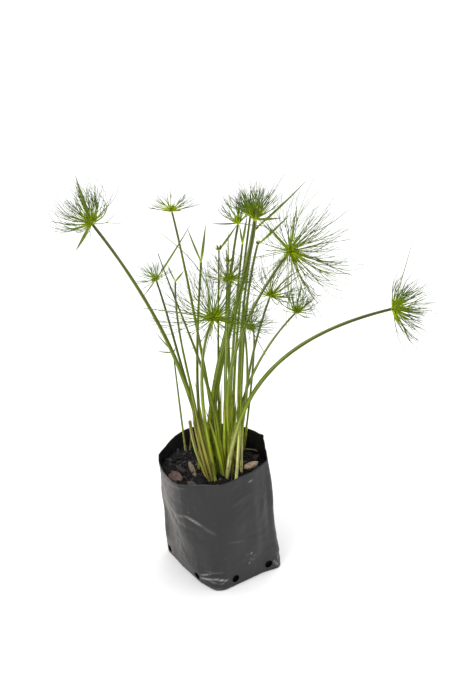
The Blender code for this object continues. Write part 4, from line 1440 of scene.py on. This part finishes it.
def leaf_sheath(culm, gap, leaf, roll):
    """A leaf-like sheath that stands off its culm and ends in a dry point."""
    length = leaf.length or culm_length(culm)
    reach = length / culm_length(culm)
    facing = math.radians(leaf.facing)
    guide = np.array((math.cos(facing), math.sin(facing), 0.0))
    lean = roll.uniform(-0.25, 0.25)
    sunk = sunk_share(culm)

    def place(across, along):
        share = along * (reach + sunk) - sunk
        spine, heading = culm_spine(culm, gap, share)
        front, side = side_axes(heading, guide)
        off = culm_radius(culm, share) + LEAF_GAP + leaf.flare * along**1.7
        width = leaf.half_width * (0.72 + 0.28 * np.sin(math.pi * along)) * (1 - along**2.6) + 0.12
        curve = np.maximum(off, leaf.half_width * 0.85)
        turn = (across - 0.5) * 2 * width / curve + lean * along
        ahead, aside = off - curve + curve * np.cos(turn), curve * np.sin(turn)
        return spine + (ahead[:, None] * front + aside[:, None] * side) * MM

    def dryness(along):
        return max(culm.dry, leaf.dry * max(0.0, along - DRY_FROM) / (1 - DRY_FROM))

    bm = sheath_mesh(LEAF_GRID, place, length / LEAF_REACH, dryness)
    mesh = to_mesh(bm, "leaf", paleness=culm.pale, brownness=culm.brown * (0.6 if leaf.length else 1))
    edge = take_values(mesh, "edge")
    # Each leaf's random tone, with painted shade darkening its edges.
    add_values(mesh, shade=roll.uniform(*SHADE_ROLL) * (1 - EDGE_SHADE_DEPTH * edge**2))
    return mesh


@functools.cache
def culm_course(name):
    """Places and radii along a culm, for what stands near it."""
    culm, shares = CULMS[name], np.linspace(0, 1, COURSE_POINTS)
    return culm_spine(culm, head_gap(name), shares)[0], culm_radius(culm, shares) * MM


def at_heights(name, heights, above=None):
    """Where a culm stands at the given heights, and its radius there."""
    spine, radii = culm_course(name)
    beyond = None if above is None else (above, above, 0.0)
    columns = (spine[:, 0], spine[:, 1], radii)
    return [
        np.interp(heights, spine[:, 2], column, right=beyond and beyond[number])
        for number, column in enumerate(columns)
    ]


def paint_shade_among_culms(mesh, name, tone):
    """Give a culm its tone, and paint shade on the sides that face its neighbours."""
    places = places_of(mesh)
    heights = places[:, 2]
    if name in CULMS:
        own_x, own_y, _ = at_heights(name, heights)
    else:
        own_x, own_y = places[:, 0].mean(), places[:, 1].mean()
    out = unit(np.stack((places[:, 0] - own_x, places[:, 1] - own_y), axis=1))
    blocked = np.zeros(len(places))
    for other in CULMS:
        if other == name:
            continue
        x, y, radius = at_heights(other, heights, FAR_AWAY)
        towards = np.stack((x, y), axis=1) - places[:, :2]
        gap = np.linalg.norm(towards, axis=1)
        facing = (towards * out).sum(axis=1) / gap
        blocked += np.minimum(1, radius / gap) * np.maximum(0, facing)
    # Painted shade from the neighbours, with the culm's tone.
    add_values(mesh, shade=take_values(mesh, "shade") * np.exp(-PAINTED_SHADE_DEPTH * blocked) * tone)


def culm_mesh(name, culm):
    """A culm with the sheaths round its foot."""
    roll, gap = random.Random(name), head_gap(name)
    loose = LOOSENESS * culm.foot_radius**2
    parts = [culm_tube(culm, gap, roll), wrapped_sheath(culm, gap, culm.sheath, loose, roll)]
    parts.append(wrapped_sheath(culm, gap, culm.sheath * 0.45, loose * 1.6, roll))
    parts += [leaf_sheath(culm, gap, leaf, roll) for leaf in LEAVES.get(name, ())]
    parts += [leaf_sheath(line, 0.0, leaf, roll) for line, leaf in BLADES.get(name, ())]
    mesh = joined(parts, f"stem_{name}")
    paint_shade_among_culms(mesh, name, culm.tone)
    return mesh


def head_gap(name):
    """How far a culm stops short of its umbel's middle."""
    return UMBELS[name].hub * HUB_BASE * MM if name in UMBELS else 0.0


class PAPYRUS_OT_culms(bpy.types.Operator):
    """Make every culm and the new shoot with their sheaths"""

    bl_idname = "papyrus.make_culms"
    bl_label = "Make the culms"

    def execute(self, context):
        skin = culm_material(context.scene.papyrus_plant)
        for name, culm in CULMS.items():
            new_piece(f"stem_{name}", culm_mesh(name, culm), (f"culm_{name}",), (skin,))
        new_piece("shoot", culm_mesh("new_shoot", NEW_SHOOT), ("new_shoot",), (skin,))
        return {"FINISHED"}


# Umbels


def follow(corners, edge_loop):
    """The new ring's corners, in the order of the old ones that they grew from."""
    fresh = {corner for edge in edge_loop for corner in edge.verts}
    return [
        next(edge.other_vert(corner) for edge in corner.link_edges if edge.other_vert(corner) in fresh)
        for corner in corners
    ]


def grow_thread(bm, path, sides=THREAD_SIDES):
    """A closed thin thread along a path of (share, sway x, sway y, thickness).

    The points hold the thread's spine, and the layer holds how far each stands off it.
    """
    girth = bm.verts.layers.float_vector["girth"]
    ring = bmesh.ops.create_circle(bm, cap_ends=True, segments=sides, radius=1)["verts"]
    offsets = [corner.co.copy() for corner in ring]
    edge_loop = list({edge for corner in ring for edge in corner.link_edges})
    corners, threads = list(ring), []
    for number, (share, sway_x, sway_y, thick) in enumerate(path):
        if number:
            grown = bmesh.ops.extrude_edge_only(bm, edges=edge_loop)["geom"]
            edge_loop = [item for item in grown if isinstance(item, bmesh.types.BMEdge)]
            edge_loop = [edge for edge in edge_loop if edge.is_boundary]
            corners = follow(corners, edge_loop)
        for corner, offset in zip(corners, offsets):
            corner.co = Vector((sway_x, sway_y, share)) + offset * GROWING_GIRTH
            corner[girth] = offset * thick
            threads.append((corner, offset))
    cap = bmesh.ops.holes_fill(bm, edges=edge_loop, sides=0)["faces"]
    faces = {face for corner, _ in threads for face in corner.link_faces} | set(cap)
    bmesh.ops.recalc_face_normals(bm, faces=list(faces))
    for corner, offset in threads:
        corner.co -= offset * GROWING_GIRTH


def ray_template(roll):
    """One ray of unit length: a stalk that parts into two or three fine threads."""
    bm = bmesh.new()
    bm.verts.layers.float_vector.new("girth")
    fork = roll.uniform(0.34, 0.6)
    lean, side = roll.uniform(0, math.tau), roll.uniform(-0.025, 0.025)

    def sway(share, towards, spread):
        past = max(0.0, share - fork)
        wave = side * math.sin(share * 5 + lean)
        out = past * spread * (1 - 0.45 * past)
        return wave + math.cos(towards) * out, wave * 0.6 + math.sin(towards) * out

    stalk = ((0.0, 1.3), (0.05, 1.75), (0.14, 1.7), (0.26, 1.4), (fork * 0.86, 1.15), (fork + 0.03, 0.95))
    grow_thread(bm, [(share, *sway(share, 0, 0), thick) for share, thick in stalk])
    count = roll.choice((2, 2, 3, 3))
    start = roll.uniform(0, math.tau)
    for number in range(count):
        towards = start + number * math.tau / count + roll.uniform(-0.5, 0.5)
        spread = roll.uniform(0.10, 0.38)
        end = roll.uniform(0.78, 1.0)
        path = []
        for step in range(THREAD_STEPS + 1):
            share = fork - 0.02 + (end - fork + 0.02) * step / THREAD_STEPS
            path.append((share, *sway(share, towards, spread), 0.86 - 0.42 * step / THREAD_STEPS))
        grow_thread(bm, path)
    return to_mesh(bm, "ray")


def stub_template(roll):
    """A short scale or spikelet in the umbel's heart."""
    bm = bmesh.new()
    bm.verts.layers.float_vector.new("girth")
    side = roll.uniform(-0.06, 0.06)
    path = [(0.0, 0, 0, 1.3), (0.3, side, 0, 2.0), (0.65, 2 * side, 0, 1.4), (1.0, 3 * side, 0, 0.3)]
    grow_thread(bm, path, STUB_SIDES)
    return to_mesh(bm, "stub")


def cap_headings(axis, spread, count, roll, hollow=0.0):
    """Directions spread evenly over a cap round an axis, each a little off its place."""
    axis = Vector(axis).normalized()
    turn = axis.to_track_quat("Z", "Y")
    headings = []
    golden = math.pi * (3 - math.sqrt(5))
    for number in range(count):
        share = hollow + (1 - hollow) * (number + 0.5) / count
        height = 1 - share * (1 - math.cos(math.radians(spread)))
        flat = math.sqrt(max(0.0, 1 - height * height))
        angle = number * golden + roll.gauss(0, 0.12)
        heading = Vector((flat * math.cos(angle), flat * math.sin(angle), height))
        heading += Vector((roll.gauss(0, 0.07), roll.gauss(0, 0.07), roll.gauss(0, 0.07)))
        headings.append((turn @ heading).normalized())
    return headings


def grow_rays(umbel, centre, templates, headings, lengths, thread, roll):
    """All rays of one umbel as a mesh: a template for each, bent along its own line."""
    mesh, counts = gathered(templates, len(headings), roll)
    local = places_of(mesh)
    girth = take_values(mesh, "girth", "vector", 3).reshape(-1, 3).astype(float)

    def each(values):
        return np.repeat(np.array(values, float), counts, axis=0)

    start, length = each([tuple(heading) for heading in headings]), each(lengths)[:, None]
    axis = np.array(Vector(umbel.axis).normalized())
    swing = each([[roll.uniform(-0.4, 0.4) for _ in range(3)] for _ in headings])
    bend = each([umbel.curl * roll.uniform(0.4, 1.5) for _ in headings])[:, None]
    sag = each([umbel.sag * roll.uniform(0.2, 1.8) for _ in headings])[:, None]
    thickness = each([thread * umbel.thread * roll.uniform(0.75, 1.2) for _ in headings])[:, None]
    down = np.array((0, 0, -1.0))

    def line(share):
        turn = bend * np.maximum(share, 0) ** 1.6
        heading = unit(start * (1 - turn) + (axis + swing) * turn)
        hang = sag * length * np.maximum(share, 0) ** 1.5 * (1.9 - 1.5 * share)
        return centre + heading * length * share + down * hang

    share = local[:, 2:3]
    spine = line(share)
    heading = unit(line(share + 0.01) - line(share - 0.01))
    guide = each([[roll.gauss(0, 1) for _ in range(3)] for _ in headings])
    side, up = side_axes(heading, guide)
    sway = (local[:, :1] * side + local[:, 1:2] * up) * length
    put_places(mesh, spine + sway + (girth[:, :1] * side + girth[:, 1:2] * up) * thickness)
    tints = each([roll.random() for _ in headings])
    away = (length * share)[:, 0] / (umbel.heart * umbel.length * MM)
    add_values(mesh, along=local[:, 2], heart=0.3 * away, tint=tints, blade=0.0)
    return mesh


def hub_mesh(umbel, centre, heading, tip_radius, roll):
    """The swelling at the culm's end that the rays grow from."""
    bm = bmesh.new()
    bmesh.ops.create_icosphere(bm, subdivisions=3, radius=1)
    seed = Vector((roll.uniform(0, 9), roll.uniform(0, 9), 0))
    size = umbel.hub * HUB_SHARE * MM
    narrow = tip_radius * MM / size
    for vert in bm.verts:
        if vert.co.z < 0:
            low = -vert.co.z
            girth = 1 + (narrow / max(0.3, math.sqrt(1 - min(0.95, low) ** 2)) - 1) * low**0.7
            vert.co.xy *= girth
            vert.co.z *= 1.5
        vert.co *= 1 + 0.10 * noise.noise(vert.co * 2.2 + seed)
    turn = Vector(heading).to_track_quat("Z", "Y").to_matrix().to_4x4()
    matrix = Matrix.Translation(centre) @ turn @ Matrix.Scale(size, 4)
    bmesh.ops.transform(bm, matrix=matrix, verts=bm.verts)
    return to_mesh(bm, "hub", along=0.02, heart=0.08, tint=0.5, blade=0.0)


def bract_mesh(centre, bract, roll):
    """A narrow leaf-like blade, folded along its middle, from the hub to its tip."""
    tip = np.array(bract.tip, float) * MM
    length = np.linalg.norm(tip)
    heading = tip / length
    aside = unit(np.array((heading[2], 0.0, -heading[0])))
    guide = np.array((roll.uniform(-0.3, 0.3), -1.0, 0.25))
    sag = 0.02 * length * roll.uniform(0.3, 1.4)
    twist = roll.uniform(-0.4, 0.4)

    def place(across, along):
        share = along[:, None]
        arch = np.sin(math.pi * share)
        off = aside * bract.bow * length - np.array((0, 0, sag))
        spine = centre + tip * share + off * arch
        up, side = side_axes(np.broadcast_to(heading, spine.shape), guide)
        turn = twist * share
        side, up = side * np.cos(turn) + up * np.sin(turn), up * np.cos(turn) - side * np.sin(turn)
        rise = 0.55 + 0.45 * np.minimum(1, share / BRACT_WIDEST)
        fall = 1 - (np.maximum(0, share - BRACT_WIDEST) / (1 - BRACT_WIDEST)) ** 1.5
        width = bract.half_width * MM * rise * fall + 0.1 * MM
        out = (across[:, None] - 0.5) * 2
        return spine + side * out * width + up * (abs(out) - 0.4) * width * 0.45

    bm, shares = mapped_grid(*BRACT_GRID, place)
    put_layer(bm, "along", shares[:, 1])
    bmesh.ops.solidify(bm, geom=bm.faces[:], thickness=BRACT_SHEET)
    bmesh.ops.recalc_face_normals(bm, faces=bm.faces)
    return to_mesh(bm, "bract", heart=1.0, tint=roll.uniform(0.3, 0.7), blade=1.0)


def umbel_mesh(name, settings, rays, stubs):
    """Everything that one culm carries."""
    umbel, culm, roll = UMBELS[name], CULMS[name], random.Random(f"{name} umbel")
    centre = np.array(culm.tip, float) * MM
    heading = (np.array(culm.tip) - np.array(culm.bow)).tolist()
    parts = [hub_mesh(umbel, centre, heading, culm.tip_radius, roll)]
    thread = settings.thread
    if umbel.rays:
        headings = cap_headings(umbel.axis, umbel.spread, umbel.rays, roll, umbel.hollow)
        span = (umbel.usual - USUAL_SPAN, LONGEST_RAY, umbel.usual)
        lengths = [umbel.length * MM * roll.triangular(*span) for _ in headings]
        bud = umbel.length < BUD_LENGTH
        parts.append(grow_rays(umbel, centre, stubs if bud else rays, headings, lengths, thread, roll))
        if not bud:
            headings = cap_headings(umbel.axis, umbel.spread * 0.95, umbel.rays, roll)
            lengths = [umbel.hub * MM * roll.uniform(1.2, 3.4) for _ in headings]
            parts.append(grow_rays(umbel, centre, stubs, headings, lengths, thread * 1.35, roll))
    parts += [bract_mesh(centre, bract, roll) for bract in umbel.bracts]
    return joined(parts, f"head_{name}")


def ray_material(settings):
    """Rays, hub and bracts: bright heart, green rays and dull fine tips."""
    material, tree, shader = new_material("umbel_tissue", 0.6, 0.06)
    along, heart, tint, blade = (add_attribute(tree, key) for key in ("along", "heart", "tint", "blade"))
    bright, plain = opaque(settings.heart), opaque(settings.ray)
    ray = add_mix(tree, add_span(tree, heart, 0.12, 0.38), bright, plain)
    ray = add_mix(tree, add_span(tree, along, 0.4, 0.95), ray, opaque(settings.tip))
    leaf = add_mix(tree, add_span(tree, along, 0.0, 0.25), bright, opaque(settings.middle))
    leaf = add_mix(tree, add_span(tree, along, 0.3, 0.9), leaf, opaque(settings.top))
    cloud = add_mottle(tree, add_mix(tree, blade, ray, leaf), scale=80.0, depth=0.12, specks=0.08)
    colour = add_level(tree, cloud.outputs[0], add_span(tree, tint, 0.0, 1.0, 0.6, 1.4))
    paint(tree, shader, colour, add_span(tree, cloud.outputs["Cloud"], 0.3, 0.7, 0.42, 0.6))
    add_bump(tree, shader, add_noise(tree, object_places(tree), 900.0), 0.1 * MM, 0.5)
    return material


class PAPYRUS_OT_umbels(bpy.types.Operator):
    """Make what every culm carries: hub, rays that part into threads, and bracts"""

    bl_idname = "papyrus.make_umbels"
    bl_label = "Make the umbels"

    def execute(self, context):
        settings = context.scene.papyrus_plant
        tissue = ray_material(settings)
        roll = random.Random(RAY_SEED)
        rays = [ray_template(roll) for _ in range(RAY_KINDS)]
        stubs = [stub_template(roll) for _ in range(STUB_KINDS)]
        for name in UMBELS:
            mesh = umbel_mesh(name, settings, rays, stubs)
            new_piece(f"head_{name}", mesh, (f"umbel_{name}",), (tissue,))
        for template in rays + stubs:
            bpy.data.meshes.remove(template)
        return {"FINISHED"}


# Stage


def floor_material(settings):
    """Plain pale floor with the faintest unevenness."""
    material, tree, shader = new_material("pale_floor", 0.8)
    cloud = add_mottle(tree, opaque(settings.floor), scale=3.0, depth=0.01, specks=0.0)
    paint(tree, shader, cloud.outputs[0])
    return material


def add_area_light(name, place, size, power):
    """A soft square light that looks at the plant."""
    data = bpy.data.lights.new(name, "AREA")
    data.shape = "SQUARE"
    data.size = size
    data.energy = power
    light = bpy.data.objects.new(name, data)
    light.location = place
    light.rotation_euler = (Vector(LIT_POINT) - Vector(place)).to_track_quat("-Z", "Y").to_euler()
    bpy.context.scene.collection.objects.link(light)


class PAPYRUS_OT_stage(bpy.types.Operator):
    """Make the pale floor, the soft lights and the camera"""

    bl_idname = "papyrus.make_stage"
    bl_label = "Make the stage"

    def execute(self, context):
        scene = context.scene
        settings = scene.papyrus_stage
        bm = bmesh.new()
        bmesh.ops.create_grid(bm, x_segments=1, y_segments=1, size=FLOOR_SIZE)
        mesh = to_mesh(bm, "floor")
        mesh.materials.append(floor_material(settings))
        floor = bpy.data.objects.new("floor", mesh)
        scene.collection.objects.link(floor)
        world = bpy.data.worlds.new("white_surroundings")
        world.use_nodes = True
        background = world.node_tree.nodes["Background"]
        background.inputs["Color"].default_value = (1, 1, 1, 1)
        background.inputs["Strength"].default_value = settings.world
        scene.world = world
        scene.view_settings.view_transform = "Standard"
        for name, (place, size, power) in LIGHTS.items():
            add_area_light(name, place, size, settings.key * power)
        camera = bpy.data.objects.new("camera", bpy.data.cameras.new("camera"))
        camera.data.lens = settings.lens
        camera.data.sensor_width = SENSOR_WIDTH
        camera.location = CAMERA_PLACE
        camera.rotation_euler = (math.pi / 2 - CAMERA_DOWN, 0, 0)
        scene.collection.objects.link(camera)
        scene.camera = camera
        return {"FINISHED"}


# Panel


class PAPYRUS_PT_panel(bpy.types.Panel):
    """The papyrus's pieces and their settings"""

    bl_idname = "PAPYRUS_PT_panel"
    bl_label = "Potted papyrus"
    bl_space_type = "VIEW_3D"
    bl_region_type = "UI"
    bl_category = "Papyrus"

    def draw(self, context):
        for group, operators in PANEL_ROWS:
            box = self.layout.box()
            settings = getattr(context.scene, group)
            for key in settings.bl_rna.properties.keys():
                if key not in ("rna_type", "name"):
                    box.prop(settings, key)
            for operator in operators:
                box.operator(operator.bl_idname)


SETTINGS = {
    "papyrus_bag": PapyrusBagSettings,
    "papyrus_mix": PapyrusMixSettings,
    "papyrus_plant": PapyrusPlantSettings,
    "papyrus_stage": PapyrusStageSettings,
}
PANEL_ROWS = (
    ("papyrus_bag", (PAPYRUS_OT_bag,)),
    ("papyrus_mix", (PAPYRUS_OT_mix, PAPYRUS_OT_bark)),
    ("papyrus_plant", (PAPYRUS_OT_culms, PAPYRUS_OT_umbels)),
    ("papyrus_stage", (PAPYRUS_OT_stage,)),
)
OPERATORS = tuple(operator for _, operators in PANEL_ROWS for operator in operators)
CLASSES = (*SETTINGS.values(), *OPERATORS, PAPYRUS_PT_panel)


def register():
    for item in CLASSES:
        bpy.utils.register_class(item)
    for name, group in SETTINGS.items():
        setattr(bpy.types.Scene, name, PointerProperty(type=group))


def unregister():
    for name in SETTINGS:
        delattr(bpy.types.Scene, name)
    for item in reversed(CLASSES):
        bpy.utils.unregister_class(item)


def main():
    register()
    bpy.ops.papyrus.make_bag()
    bpy.ops.papyrus.make_mix()
    bpy.ops.papyrus.make_bark()
    bpy.ops.papyrus.make_culms()
    bpy.ops.papyrus.make_umbels()
    bpy.ops.papyrus.make_stage()


if __name__ == "__main__":
    main()
